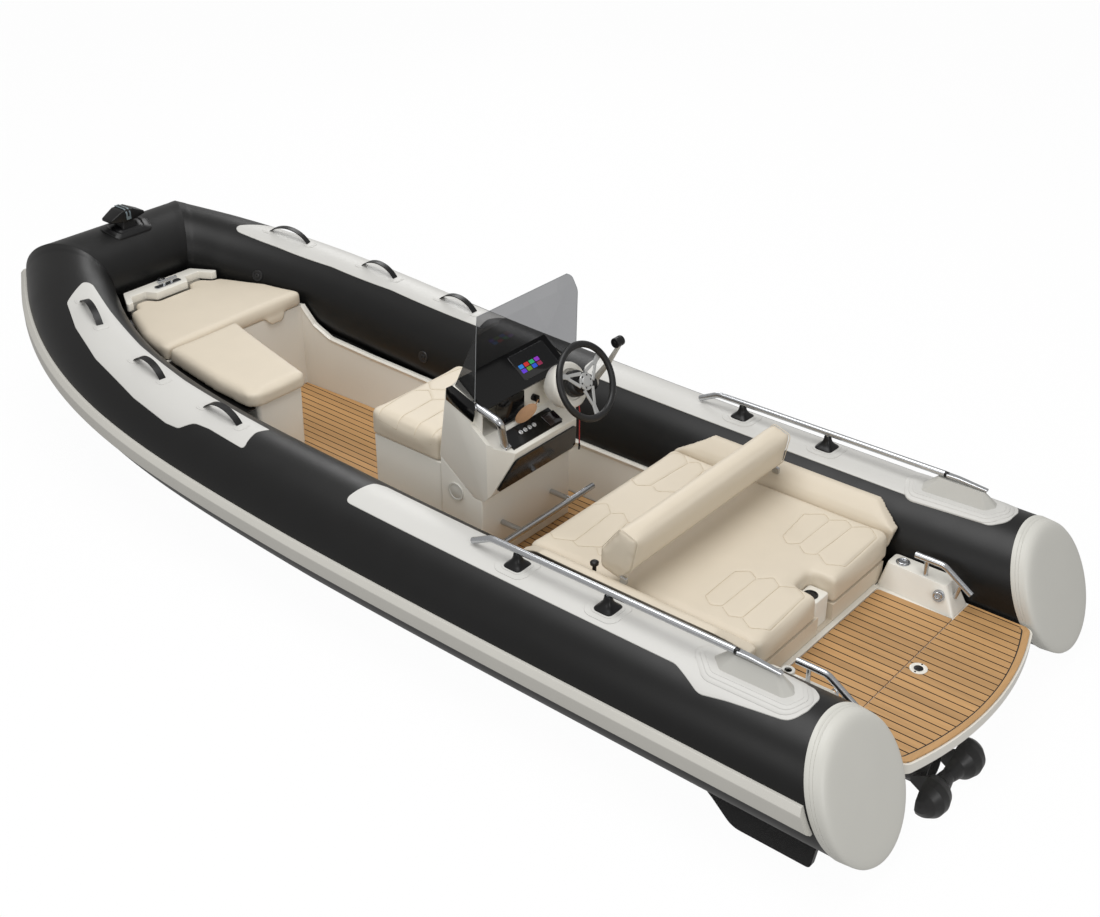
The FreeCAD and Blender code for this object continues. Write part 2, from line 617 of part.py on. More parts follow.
def make_console():
    """Helm: lower base, upper pod with side arms, dash, cubby, switch strip, door and windscreen."""
    floor = SOLE_Z + TEAK_T + FIT
    y = CONSOLE_Y
    inner = y - ARM_T
    base = slab("xz", [(CONSOLE_FWD_X, floor), (CONSOLE_FWD_X, 494), (CONSOLE_FOOT_X, 356), (2055, 356),
                       (2055, floor)], -y, y)
    save("console_base", base)
    plan = slab("xy", mirrored([(CONSOLE_FWD_X + 40, y), (CORNER_X, y), (LIP_X, LIP_Y)]), 300.0, 1000.0)
    front = [(CONSOLE_FWD_X, 494 + FIT), (2239, 818, 16)]
    back = [(LIP_X + 4, 556, 4), (2012, 395, 10), (2040, 358, 20), (CONSOLE_FOOT_X, 356 + FIT)]
    arms = slab("xz", front + [(2198, 846, 6), (2091, 800, 4), (2108, 700, 16), (LIP_X, LIP_Z - 8)] + back, -y, y)
    middle = slab("xz", front + [(DASH_TOP_X, DASH_TOP_Z), (SHELF_X, DASH_LOW_Z), (SHELF_X + 4, SHELF_Z + 2),
                                 (LIP_X, LIP_Z, 6)] + back, -inner, inner)
    well = slab("xz", [(2400, 300), (2400, 1000), (1700, 1000), (1700, 300)], -inner, inner)
    cubby = block(SHELF_X - 80, DASH_TOP_X - 20, 20, inner - 5, SHELF_Z + 4, DASH_LOW_Z - 8)
    pod = arms.cut(well).fuse(middle).common(plan).cut(cubby).removeSplitter()
    save("console", pod)
    run = V(DASH_TOP_X - SHELF_X, 0, DASH_TOP_Z - DASH_LOW_Z)
    up = V(-run.z, 0, run.x).normalize()
    low_edge, top_edge = V(SHELF_X, 0, DASH_LOW_Z) - run * 0.06, V(DASH_TOP_X, 0, DASH_TOP_Z)
    corners = [p + up * h for p, h in ((low_edge, FIT), (top_edge, FIT), (top_edge, DASH_T), (low_edge, DASH_T))]
    dash = slab("xz", [(p.x, p.z) for p in corners], 1 - inner, inner - 1)
    save("dash_screen", dash)
    slope = (SHELF_Z - LIP_Z) / (SHELF_X - LIP_X)

    def shelf(x, rise):
        return x, LIP_Z + slope * (x - LIP_X) + rise

    save("switch_panel", slab("xz", [shelf(1960, FIT), shelf(2036, FIT), shelf(2036, 8), shelf(1960, 8)], -120, 190))
    lean = (2012.0 - LIP_X - 4.0) / (556.0 - 395.0)

    def aft_face(z, proud):
        return LIP_X + 4.0 + lean * (556.0 - z) - proud, z

    door = [(LIP_Y - 4, 552, 24), (258, 402, 18)]
    door_prism = slab("yz", mirrored_front(door), 1800.0, 2100.0)
    sheet = slab("xz", [aft_face(600, FIT), aft_face(380, FIT), aft_face(380, 11), aft_face(600, 11)], -300, 300)
    save("glovebox_door", sheet.common(door_prism))
    top, side = SCREEN_TOP_Z, y - 7.0
    fore = [(DASH_TOP_X + 10, 842), (SCREEN_TOP_X, 1129), (SCREEN_TOP_X + 3, top)]
    rear = [(2040, top, 30), (2009, 1131, 50), (2015, 870, 40), (2093, 801, 0), (DASH_TOP_X, 790, 0)]
    outer = slab("xz", fore + rear, -side, side)
    shift = SCREEN_T * 1.09
    inner_cut = slab("xz", [(fore[0][0] - shift + 25, 780), (fore[0][0] - shift, 842), (SCREEN_TOP_X - shift, 1129),
                            (SCREEN_TOP_X + 3 - shift, top + 60), (1900, top + 60), (1900, 780)],
                     SCREEN_T - side, side - SCREEN_T)
    save("windscreen", outer.cut(inner_cut).cut(pod).cut(dash))
    bar_y = 262.0
    grab = bent_bar([V(2112, bar_y, 786), V(1961, bar_y, 738), V(1944, bar_y, 600)], 13.0, 30.0)
    save("console_grab_bar", grab.cut(pod).cut(dash))
    save("speakers", Part.makeCylinder(42, 6, V(2199, y + FIT, 350), V(0, 1, 0)))
    rail = rod(V(1943, -316, 196), V(1943, 316, 196), 14.0)
    for side_y in (-163, 163):
        rail = rail.fuse(rod(V(1943, side_y, 196), V(2055 - FIT, side_y, 196), 12.0))
    save("foot_rail", rail)
    return pod.fuse(dash)


def make_switches(helm):
    """Key with its tag, and the engine-stop switch with its lanyard."""
    face_x = SHELF_X + 2.0
    boss = Part.makeCylinder(15, 16, V(face_x + 4, -52, 706), V(-1, 0, 0)).cut(helm)
    bow = block(face_x - 34, face_x - 11.7, -55, -49, 690, 722)
    stop = V(2016, -248, 0)
    stop.z = LIP_Z + (SHELF_Z - LIP_Z) / (SHELF_X - LIP_X) * (stop.x - LIP_X)
    knob = Part.makeCylinder(13, 20, stop - V(0, 0, 5), V(0, 0, 1)).cut(helm)
    run = (CORD_ROUTE[1] - CORD_ROUTE[0]).normalize()
    knob = knob.fuse(rod(CORD_ROUTE[0] - run * 9, CORD_ROUTE[0], 3.2))
    save("helm_switches", Part.makeCompound([boss.fuse(bow), knob]))
    tag_x = face_x - 32
    tag = slab("yz", [(6, 712, 18), (30, 730, 18), (92, 664, 18), (68, 646, 18)], tag_x, tag_x + 3)
    string = rod(V(tag_x + 1.5, -48.7, 706), V(tag_x + 1.5, 18, 706), 1.2)
    save("key_tag", tag.fuse(string))
    save("kill_cord", bent_bar(CORD_ROUTE, CORD_R))
    end = CORD_ROUTE[-1]
    clip = Part.makeCylinder(4.5, 12, end, V(0, 0, -1)).fuse(Part.makeTorus(10, 2.2, end - V(0, 0, 21), V(1, 0.4, 0)))
    save("kill_clip", clip)


def make_wheel(helm):
    """Steering wheel on its tilted column."""
    tilt = math.radians(WHEEL_TILT)
    axis = V(-math.cos(tilt), 0, math.sin(tilt))
    wheel = Part.makeTorus(WHEEL_R, WHEEL_RIM_R, V(0, 0, 0), V(0, 0, 1))
    wheel = wheel.fuse(Part.makeCylinder(38, 10, V(0, 0, -14)))
    for angle in (60, 180, 300):
        spoke = slab("xy", [(20, -24), (WHEEL_R - 4, -11), (WHEEL_R - 4, 11), (20, 24)], -10, -4)
        spoke.rotate(V(0, 0, 0), V(0, 0, 1), angle)
        wheel = wheel.fuse(spoke)
    wheel = wheel.fuse(Part.makeCone(26, 34, 56, V(0, 0, -70), V(0, 0, 1)))
    place = FreeCAD.Placement(WHEEL_C, FreeCAD.Rotation(V(0, 0, 1), axis))
    wheel.Placement = place
    save("steering_wheel", wheel)
    cowl = Part.makeCone(76, 66, 80, V(0, 0, -70.3 - 80))
    cowl = cowl.fuse(Part.makeCylinder(30, 130, V(0, 0, -150 - 128)))
    cowl.Placement = place
    save("wheel_cowl", cowl.cut(helm))


def make_throttle():
    y = -CONSOLE_Y - FIT
    x, z = THROTTLE_PIVOT.x, THROTTLE_PIVOT.z
    box = slab("xz", [(x - 34, z - 34, 30), (x + 120, z - 40, 20), (x + 106, z + 44, 24), (x - 34, z + 34, 30)],
               y - 44, y)
    save("throttle_box", box)
    hub = Part.makeCylinder(26, 22, V(x, y - 44 - FIT, z), V(0, -1, 0))
    arm = rod(V(x, y - 60, z), V(1893, y - 60, 808), 9.0).fuse(rod(V(1893, y - 60, 808), V(1833, y - 58, 931), 9.0))
    knob = Part.makeCylinder(21, 46, V(1833, y - 64, 931), V(0, 1, 0))
    save("throttle_lever", hub.fuse(arm).fuse(knob))


def make_aft_seat():
    """Upholstered seat on its hollow base, with side bolsters and the swinging backrest."""
    floor = SOLE_Z + FIT
    top = SEAT_TOP_Z - SEAT_T
    fwd = SEAT_FWD_X - 26
    outer = slab("xz", [(fwd + 4, floor), (fwd + 18, top - FIT), (SEAT_AFT_X, top - FIT), (SEAT_AFT_X, 236),
                        (SEAT_AFT_X + 62, 236), (SEAT_AFT_X + 62, floor)], -430.0, 430.0)
    bay = block(SEAT_AFT_X + 130, fwd - 14, -290, 290, SOLE_Z - 1, top + 1)
    notch = block(SEAT_AFT_X - 60, NOTCH_X, NOTCH_STBD_Y, NOTCH_PORT_Y, 236 + 14, top + 1)
    save("seat_base", outer.cut(bay).cut(notch))
    plan = [(SEAT_FWD_X, -SEAT_Y, 30), (SEAT_FWD_X, SEAT_Y, 30), (SEAT_AFT_X, SEAT_Y, 50),
            (SEAT_AFT_X, NOTCH_PORT_Y + 14, 20), (NOTCH_X, NOTCH_PORT_Y, 12), (NOTCH_X, NOTCH_STBD_Y, 12),
            (SEAT_AFT_X, NOTCH_STBD_Y, 20), (SEAT_AFT_X, -SEAT_Y, 50)]
    save("aft_seat_cushion", soften(slab("xy", plan, top, SEAT_TOP_Z), 24.0, SEAT_TOP_Z - 1))
    post = block(SEAT_AFT_X + 30, NOTCH_X - 6, NOTCH_STBD_Y + 14, NOTCH_PORT_Y - 14, 250 + FIT, 396, 14)
    save("tow_post", post.fuse(Part.makeCylinder(20, 14, V(SEAT_AFT_X + 74, 8, 395))))
    rise = [(SEAT_FWD_X, SEAT_TOP_Z - 20, 10), (1487, COAMING_TOP_Z, 40), (703, COAMING_TOP_Z, 60),
            (SEAT_AFT_X, SEAT_TOP_Z - 3, 10), (SEAT_AFT_X + 20, 340, 20), (SEAT_FWD_X, 340, 10)]
    section = [(SEAT_Y + FIT, 330), (SEAT_Y + FIT, 436), (562, COAMING_TOP_Z), (594, COAMING_TOP_Z - 6), (556, 436),
               (508, 330)]
    bolster = slab("xz", rise, 400, 700).common(slab("yz", section, SEAT_AFT_X - 10, SEAT_FWD_X + 10))
    bolster = bolster.cut(tube_side(COAMING_GAP))
    save("seat_coamings", both(bolster))
    hexagon = [(1169, 696, 20), (1251, 584, 20), (1251, 500, 20), (1163, 480, 20), (1113, 538, 20), (1087, 669, 20)]
    save("backrest", slab("xz", hexagon, -BACK_Y, BACK_Y))
    plate = slab("xz", [(BACK_PIVOT_X + 14, BACK_PIVOT_Z - 12, 12), (BACK_PIVOT_X + 40, 560, 10),
                        (BACK_PIVOT_X, 570, 10), (BACK_PIVOT_X - 14, BACK_PIVOT_Z - 12, 12)],
                 BACK_Y, BACK_Y + ARM_PLATE_T)
    knob = Part.makeCylinder(13, 16, V(BACK_PIVOT_X - 62, BACK_Y - 18, 520), V(0, 1, 0))
    stem = rod(V(BACK_PIVOT_X - 62, BACK_Y - 10, 520), V(BACK_PIVOT_X - 30, BACK_Y - 10, 545), 5.0)
    slope = (COAMING_TOP_Z - 436.0) / (562.0 - SEAT_Y - FIT)
    reach = SEAT_Y + FIT + (BACK_PIVOT_Z - 9.0 - 436.0) / slope - 2 * FIT
    pin = rod(V(BACK_PIVOT_X, BACK_Y + 2.0, BACK_PIVOT_Z), V(BACK_PIVOT_X, reach, BACK_PIVOT_Z), 9.0)
    save("backrest_arms", both(plate.fuse(pin).cut(bolster)))


def make_tube_fittings():
    """Grab straps, rails with their boots, fairlead housings, valves and the bow roller."""
    straps = []
    for fore, aft in ((4340, 4124), (3780, 3568), (3256, 3032)):
        ends = [side_point(x, 0.0, tube_radius(x) + PATCH_T + STRAP_T + 0.5) for x in (fore, aft)]
        middle, up = (ends[0] + ends[1]) * 0.5, axis_frame(0.5 * (fore + aft))[2]
        out = (ends[0] - ends[1]).cross(up).normalize()
        side = [p + out * (0.5 * STRAP_W) for p in (ends[0], middle + up * (STRAP_RISE + STRAP_T), ends[1])]
        under = [side[0] - up * STRAP_T, side[1] - up * STRAP_T, side[2] - up * STRAP_T]
        loop = [Part.Arc(*side).toShape(), Part.LineSegment(side[2], under[2]).toShape(),
                Part.Arc(*reversed(under)).toShape(), Part.LineSegment(under[0], side[0]).toShape()]
        straps.append(Part.Face(Part.Wire(loop)).extrude(out * -STRAP_W))
    save("handle_straps", both(Part.makeCompound(straps)))
    y = RAIL_Y
    rail = bent_bar([V(1684, y, 547), V(1592, y, RAIL_Z - 4), V(1464, y, RAIL_Z - 2), V(500, y, RAIL_Z + 3)], RAIL_R, 60.0)
    for x in RAIL_POSTS_X:
        rail = rail.fuse(rod(V(x, y, 548 + FIT), V(x, y, RAIL_Z - 2), 9.0))
    blade = slab("xz", [(506, RAIL_Z + 12, 6), (330, RAIL_Z + 2, 4), (330, RAIL_Z - 6, 4), (506, RAIL_Z - 9, 6)],
                 y - 14, y + 14)
    save("grab_rails", both(rail.fuse(blade)))
    top = TUBE_Z + TUBE_R + PATCH_T
    boots = [Part.makeCone(34, 13, 36, V(x, y, top - 4)).cut(rod(V(x, y, 548), V(x, y, 620), 9.2)) for x in RAIL_POSTS_X]
    over = TUBE_R + PATCH_T + FIT
    cores = [rod(axis_point(x) - V(60, 0, 0), axis_point(x) + V(60, 0, 0), over) for x in RAIL_POSTS_X]
    save("rail_boots", both(Part.makeCompound([boot.cut(core) for boot, core in zip(boots, cores)])))
    low = outline("xy", [(632, 742, 20), (560, 806, 30), (270, 800, 26), (248, 742, 20), (290, 682, 26),
                         (600, 664, 26)], top - 26.0)
    high = outline("xy", [(548, 742, 12), (510, 752, 12), (350, 752, 12), (330, 742, 12), (350, 728, 12),
                          (520, 728, 12)], RAIL_Z - 12.0)
    save("fairlead_housings", both(Part.makeLoft([low, high], True, True).cut(
        rod(V(0, TUBE_Y, TUBE_Z), V(1000, TUBE_Y, TUBE_Z), over + 2 * FIT))))
    valves = []
    for x, up in ((4292, 60.0), (3160, 30.0)):
        point, out, upward = axis_frame(x)
        aim = (upward * up - out * math.sqrt(tube_radius(x) ** 2 - up ** 2)).normalize()
        valves.append(Part.makeCylinder(22, 6, point + aim * (tube_radius(x) + 2 * FIT), aim))
    save("tube_valves", both(Part.makeCompound(valves)))
    z = BOW_CORNER.z
    pad = rod(V(BOW_X, -140, z), V(BOW_X, 140, z), BOW_R + 8.0).cut(rod(V(BOW_X, -200, z), V(BOW_X, 200, z), BOW_R + FIT))
    plan = mirrored([(4655, 106, 30), (4742, 134, 60), (4800, 110, 30)])
    pad = pad.common(slab("xy", plan, z, z + 400))
    crown = z + BOW_R
    roller = slab("xz", [(4660, crown - 30, 6), (4665, crown + 4, 12), (4710, crown + 38, 16), (4840, crown + 30, 14),
                         (4940, crown - 46, 10), (4915, crown - 70, 8), (4820, crown - 10, 10)], -30.0, 30.0)
    roller = roller.cut(rod(V(BOW_X, -200, z), V(BOW_X, 200, z), BOW_R + FIT))
    save("bow_roller", pad.fuse(roller))


make_tubes()
make_end_caps()
make_strakes()
make_patches()
HULL = make_hull()
make_liner(HULL)
make_cockpit_teak()
make_platform(HULL)
make_stern_mouldings()
make_jet()
make_bow(HULL)
make_front_seat()
HELM = make_console()
make_switches(HELM)
make_wheel(HELM)
make_throttle()
make_aft_seat()
make_tube_fittings()
print(len(BODY), "pieces")
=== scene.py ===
"""Finishes, finer surfaces and light for the inflatable boat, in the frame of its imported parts, in metres."""
import contextlib
import math

import bmesh
import bpy
import numpy as np
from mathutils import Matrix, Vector
from mathutils.bvhtree import BVHTree


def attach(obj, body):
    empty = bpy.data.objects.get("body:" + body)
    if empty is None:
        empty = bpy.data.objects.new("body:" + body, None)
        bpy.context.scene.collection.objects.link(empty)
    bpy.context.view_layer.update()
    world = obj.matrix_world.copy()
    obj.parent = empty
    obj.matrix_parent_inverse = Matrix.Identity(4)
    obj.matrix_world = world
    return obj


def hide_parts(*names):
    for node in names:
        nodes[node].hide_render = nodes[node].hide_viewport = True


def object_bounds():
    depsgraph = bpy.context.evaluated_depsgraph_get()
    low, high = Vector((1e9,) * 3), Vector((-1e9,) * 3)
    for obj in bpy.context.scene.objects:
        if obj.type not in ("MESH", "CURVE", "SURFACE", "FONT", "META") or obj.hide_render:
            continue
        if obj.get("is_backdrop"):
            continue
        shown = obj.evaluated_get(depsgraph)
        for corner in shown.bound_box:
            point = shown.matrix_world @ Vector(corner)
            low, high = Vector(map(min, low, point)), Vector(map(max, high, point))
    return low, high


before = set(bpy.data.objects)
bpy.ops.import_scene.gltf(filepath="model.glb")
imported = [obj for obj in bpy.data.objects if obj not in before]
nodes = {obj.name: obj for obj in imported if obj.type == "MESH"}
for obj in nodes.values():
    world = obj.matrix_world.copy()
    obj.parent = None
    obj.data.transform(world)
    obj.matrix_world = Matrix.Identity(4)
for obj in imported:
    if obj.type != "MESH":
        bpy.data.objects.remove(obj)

first_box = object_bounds()
scene = bpy.context.scene


# Camera: it looks down 30 degrees from above the port quarter through a 50 mm lens.
def given(made, **settings):
    """The thing with those settings."""
    for key, value in settings.items():
        setattr(made, key, value)
    return made


lens = given(bpy.data.cameras.new("camera"), lens=50.0, sensor_width=36.0, clip_end=60.0)
camera = given(bpy.data.objects.new("camera", lens), location=(-1.607, 4.263, 3.678),
               rotation_euler=(math.radians(60.0), 0.0, math.radians(-140.346)))
scene.collection.objects.link(camera)
scene.camera = camera
scene.view_settings.view_transform = "Standard"


# Engine-stop lanyard: a limp red cord of 5 mm that hangs from the switch over the corner of
# the console, with a small black hook at its lower end.
def linear(code):
    """Scene-linear RGBA of a #rrggbb colour: ((c + 0.055) / 1.055) ** 2.4, or c / 12.92 below 0.04045."""
    c = np.array([int(code[i:i + 2], 16) for i in (1, 3, 5)]) / 255.0
    return (*np.where(c > 0.04045, ((c + 0.055) / 1.055) ** 2.4, c / 12.92).tolist(), 1.0)


def feed(made, inputs):
    """The inputs of a shader node take their values, or are linked to the sockets given."""
    for key, value in inputs.items():
        if isinstance(value, bpy.types.NodeSocket):
            made.id_data.links.new(value, made.inputs[key])
        else:
            made.inputs[key].default_value = value
    return made


def add(tree, kind, inputs=None, **settings):
    """New shader node of that kind, with its settings and inputs."""
    return feed(given(tree.nodes.new("ShaderNode" + kind), **settings), inputs or {})


def finish(name, code, rough, vary=0.05, scale=25.0, bump=0.15, depth=0.0004, metal=0.0, clear=0.0,
           stretch=(1.0, 1.0, 1.0), gleam=0.5):
    """Material whose colour, roughness and height follow noises in object space."""
    made = bpy.data.materials.new(name)
    made.use_nodes = True
    tree = made.node_tree
    spot = add(tree, "Mapping", {"Vector": add(tree, "TexCoord").outputs["Object"], "Scale": stretch}).outputs["Vector"]
    broad = add(tree, "TexNoise", {"Vector": spot, "Scale": scale, "Detail": 5.0}).outputs["Fac"]
    fine = add(tree, "TexNoise", {"Vector": spot, "Scale": scale * 22, "Detail": 2.0}).outputs["Fac"]
    base = np.array(linear(code)[:3])
    tint = add(tree, "Mix", {0: broad, 6: (*(base * (1 - vary)), 1.0),
                             7: (*np.minimum(base * (1 + vary), 1.0), 1.0)}, data_type="RGBA")
    dull = add(tree, "MapRange", {"Value": broad, "To Min": rough * 0.85, "To Max": min(1.0, rough * 1.15)})
    relief = add(tree, "Bump", {"Strength": bump, "Distance": depth, "Height": fine})
    feed(tree.nodes["Principled BSDF"], {
        "Base Color": tint.outputs[2], "Roughness": dull.outputs["Result"], "Normal": relief.outputs["Normal"],
        "Metallic": metal, "Specular IOR Level": gleam, "Coat Weight": clear, "Coat Roughness": 0.08})
    return made


def dress(material, *names):
    """The CAD nodes of these names take the material."""
    for name in names:
        mesh = nodes[name].data
        mesh.materials.clear()
        mesh.materials.append(material)


def placed(name, data, replaced=(), body="boat"):
    """New object in the scene, its body and the nodes that it stands for."""
    made = bpy.data.objects.new(name, data)
    scene.collection.objects.link(made)
    if replaced:
        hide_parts(*replaced)
    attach(made, body)
    return made


cord_route = np.array([(2006, -258, 636), (1996, -265, 628), (1989, -270, 606), (1987, -274, 566),
                       (1990, -276, 512), (1988, -274, 458), (1990, -276, 414)]) / 1000
cord_curve = given(bpy.data.curves.new("lanyard", "CURVE"), dimensions="3D", bevel_depth=0.0025, bevel_resolution=4,
                   use_fill_caps=True)
cord_line = cord_curve.splines.new("NURBS")
cord_line.points.add(len(cord_route) - 1)
cord_line.points.foreach_set("co", np.c_[cord_route, np.ones(len(cord_route))].ravel())
given(cord_line, order_u=3, use_endpoint_u=True)
cord_curve.materials.append(finish("lanyard", "#b51217", 0.55, 0.12, 60, 0.5, 0.0006))
feed(cord_curve.materials[0].node_tree.nodes["Principled BSDF"], {"Sheen Weight": 0.3})
lanyard = placed("lanyard", cord_curve, ["kill_cord"])
black_plastic = finish("black_plastic", "#0d0d0e", 0.36, 0.12, 40, 0.15, 0.0002, gleam=0.35)
dress(black_plastic, "kill_clip")

# Light: a white studio, brighter from above and from the left of the camera, so the black tube
# fabric gets one soft streak along its shoulder.
studio = bpy.data.worlds.new("studio")
studio.use_nodes = True
tree = studio.node_tree
tree.nodes.clear()
seen = add(tree, "Background", {"Color": (1.0, 1.0, 1.0, 1.0)})
lit = add(tree, "Background", {"Color": (1.0, 0.99, 0.98, 1.0), "Strength": 0.46})
choose = add(tree, "MixShader", {0: add(tree, "LightPath").outputs["Is Camera Ray"], 1: lit.outputs[0],
                                 2: seen.outputs[0]})
add(tree, "OutputWorld", {"Surface": choose.outputs[0]})
scene.world = studio
lamps = [("overhead", (2.3, 0.6, 6.0), (2.4, 0.0, 0.0), 5.0, 215.0),
         ("side", (-4.6, 3.0, 3.2), (1.6, 0.0, 0.2), 3.0, 95.0),
         ("port", (1.8, 6.0, 3.4), (2.2, 0.0, 0.2), 2.5, 42.0),
         ("far", (6.5, -5.0, 4.0), (2.6, 0.0, 0.3), 3.0, 80.0)]
for name, place, aim, size, power in lamps:
    lamp = given(bpy.data.lights.new(name, "AREA"), shape="DISK", size=size, energy=power)
    turned = (Vector(aim) - Vector(place)).to_track_quat("-Z", "Y").to_euler()
    light = given(bpy.data.objects.new(name, lamp), location=place, rotation_euler=turned)
    scene.collection.objects.link(light)
    light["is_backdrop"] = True

# Floor: the plane of still water at the waterline, nearly clear, so that what is under water
# still shows and the shadow stays faint.
floor_mesh = bpy.data.meshes.new("floor")
floor_mesh.from_pydata([(-14, -14, 0), (18, -14, 0), (18, 14, 0), (-14, 14, 0)], [], [(0, 1, 2, 3)])


def bare(name):
    """New material with an empty tree, and that tree."""
    made = bpy.data.materials.new(name)
    made.use_nodes = True
    made.node_tree.nodes.clear()
    return made, made.node_tree


def mixed(tree, share, first, second):
    """Shader that is the first one apart from a share of the second."""
    return add(tree, "MixShader", {0: share, 1: first.outputs[0], 2: second.outputs[0]})


veil, tree = bare("veil")
blend = mixed(tree, 0.03, add(tree, "BsdfTransparent"), add(tree, "BsdfDiffuse", {"Color": (0.95, 0.95, 0.95, 1.0)}))
add(tree, "OutputMaterial", {"Surface": blend.outputs[0]})
floor_mesh.materials.append(veil)
floor = bpy.data.objects.new("floor", floor_mesh)
scene.collection.objects.link(floor)
floor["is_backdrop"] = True


# Tubes: black coated fabric over air, one chamber a side and one across the bow, glued along
# mitred seams under a narrow tape.
R_STERN, R_BOW = 239.0, 211.0  # tube radii in mm
CORNER_X = 4774.0  # where the side tubes meet the bow tube
LAST_X = 4514.0  # the last section that is square to the axis
RAKE = 0.4455  # lean of the stern ends, x over z


def axis(x):
    """Axis of the port tube: straight, then y = 741 - 404 b ** 3.43 and z = 287 + 322 a ** 3.93."""
    x = np.asarray(x, float)
    inward = np.maximum(0, (x - 2800) / (CORNER_X - 2800))
    upward = np.maximum(0, (x - 200) / (CORNER_X - 200))
    return np.stack([x, 741 - 404 * inward ** 3.43, 287 + 322 * upward ** 3.93], -1)


def girth(x):
    """Radius of the tube, which narrows ahead of x = 2464."""
    return R_STERN - (R_STERN - R_BOW) * np.maximum(0, (x - 2464) / (CORNER_X - 2464))


def unit(v):
    """Vectors of length 1 along v."""
    return v / np.linalg.norm(v, axis=-1, keepdims=True)


def heading(x):
    """Forward, outboard and upward directions of the tube axis at x."""
    ahead = unit(axis(x + 1) - axis(x - 1))
    outward = unit(np.stack([-ahead[..., 1], ahead[..., 0], 0 * ahead[..., 0]], -1))
    return ahead, outward, np.cross(ahead, outward)


def beside(x, out, up):
    """Point that lies out and up from the axis at x, in its cross-section."""
    ahead, outward, upward = heading(x)
    return axis(x) + outward * np.asarray(out, float)[..., None] + upward * np.asarray(up, float)[..., None]


corner = axis(CORNER_X)
mitre = heading(CORNER_X)[0] + [0.0, -1.0, 0.0]


def at_mitre(out, up):
    """Point of the bow corner's mitre plane: y = corner.y - (m.x out + m.z up) / m.y."""
    return np.stack([corner[0] + out, corner[1] - (mitre[0] * out + mitre[2] * up) / mitre[1], corner[2] + up], -1)


def along_tube(profile, aft, count, ends=0.0):
    """Grid of a section (out - radius, up) carried from the raked end at x = aft to the mitre.

    It keeps the axis's own sections up to LAST_X, then bends into the mitre along the cubic
    (2t^3 - 3t^2 + 1) p + (t^3 - 2t^2 + t) pt + (3t^2 - 2t^3) q + (t^3 - t^2) qt. profile is a function
    of the tube radius that gives outs and ups. ends thickens the last rows into a tape.
    """
    ups = profile(R_STERN)[1]
    share = np.concatenate([[0.0, 0.001], np.linspace(0.012, 1.0, count)])[:, None]
    x = (aft + RAKE * ups) * (1 - share) + LAST_X * share
    rear = beside(x, *np.array([profile(r) for r in girth(x[:, 0])]).transpose(1, 0, 2))
    t = np.linspace(0, 1, 24)[1:, None, None]
    swell = np.where(t > 0.86, ends, 0.0)
    p, q = rear[-1], at_mitre(*profile(R_BOW))
    reach = np.linalg.norm(q - p, axis=-1, keepdims=True)
    pt, qt = heading(LAST_X)[0] * reach, heading(CORNER_X)[0] * reach
    bend = ((2 * t ** 3 - 3 * t ** 2 + 1) * p + (t ** 3 - 2 * t ** 2 + t) * pt
            + (3 * t ** 2 - 2 * t ** 3) * q + (t ** 3 - t ** 2) * qt)
    return np.concatenate([rear, bend + unit(bend - bend.mean(axis=1, keepdims=True)) * swell])


def circle(r, steps=112):
    """Section (out, up) = r (cos a, sin a)."""
    angle = np.linspace(0.0, 2 * math.pi, steps, endpoint=False)
    return r * np.cos(angle), r * np.sin(angle)


@contextlib.contextmanager
def opened(mesh):
    """The mesh as a BMesh, which is written back at the end."""
    work = bmesh.new()
    work.from_mesh(mesh)
    yield work
    work.to_mesh(mesh)
    work.free()


def skin(name, grids, material, slot, replaced=(), body="boat", around=True, closed=True):
    """One object of (u, v, 3) grids in millimetres, round in v if around, with flat end faces if closed."""
    faces, start = [], 0
    for grid in grids:
        nu, nv = grid.shape[:2]
        index = start + np.arange(nu * nv).reshape(nu, nv)
        if around:
            index = np.c_[index, index[:, :1]]
        quads = np.stack([index[:-1, :-1], index[1:, :-1], index[1:, 1:], index[:-1, 1:]], -1).reshape(-1, 4)
        faces += quads.tolist()
        if around and closed:
            faces += [index[0, :-1].tolist(), index[-1, :-1][::-1].tolist()]
        start += nu * nv
    mesh = bpy.data.meshes.new(name)
    mesh.from_pydata(np.concatenate([grid.reshape(-1, 3) for grid in grids]) / 1000, [], faces)
    with opened(mesh) as work:
        bmesh.ops.remove_doubles(work, verts=work.verts, dist=1e-7)
        bmesh.ops.recalc_face_normals(work, faces=work.faces)
    mesh.shade_smooth()
    mesh.set_sharp_from_angle(angle=0.7)
    mesh.materials.append(material)
    return placed(name, mesh, replaced, body)


def black_piece(name, grids, *replaced, **settings):
    """An object of black plastic that stands for those CAD nodes."""
    return skin(name, grids, black_plastic, "black_plastic", replaced, **settings)


def other_side(grid):
    """The starboard image of a port grid."""
    return grid * [1.0, -1.0, 1.0]


def both(*grids):
    """The port grids and their starboard images."""
    return [*grids, *map(other_side, grids)]


fabric = finish("tube_fabric", "#0f0f0f", 0.40, 0.10, 9, 0.3, 0.0003, gleam=0.36)
tube = along_tube(circle, 51.0, 150, 1.2)
skin("port_tube", [tube], fabric, "black_fabric", ["tube_port"])
skin("starboard_tube", [other_side(tube)], fabric, "black_fabric", ["tube_starboard"])
across = np.linspace(0, 1, 41)[:, None, None]
port_end = at_mitre(*circle(R_BOW))
swell = np.where(np.abs(across - 0.5) > 0.46, 1.2, 0.0)
cross = port_end * (1 - across) + other_side(port_end) * across
spoke = (port_end - corner) * [1.0, 0.0, 1.0]
skin("bow_tube", [cross + spoke / R_BOW * swell], fabric, "black_fabric", ["tube_bow"])

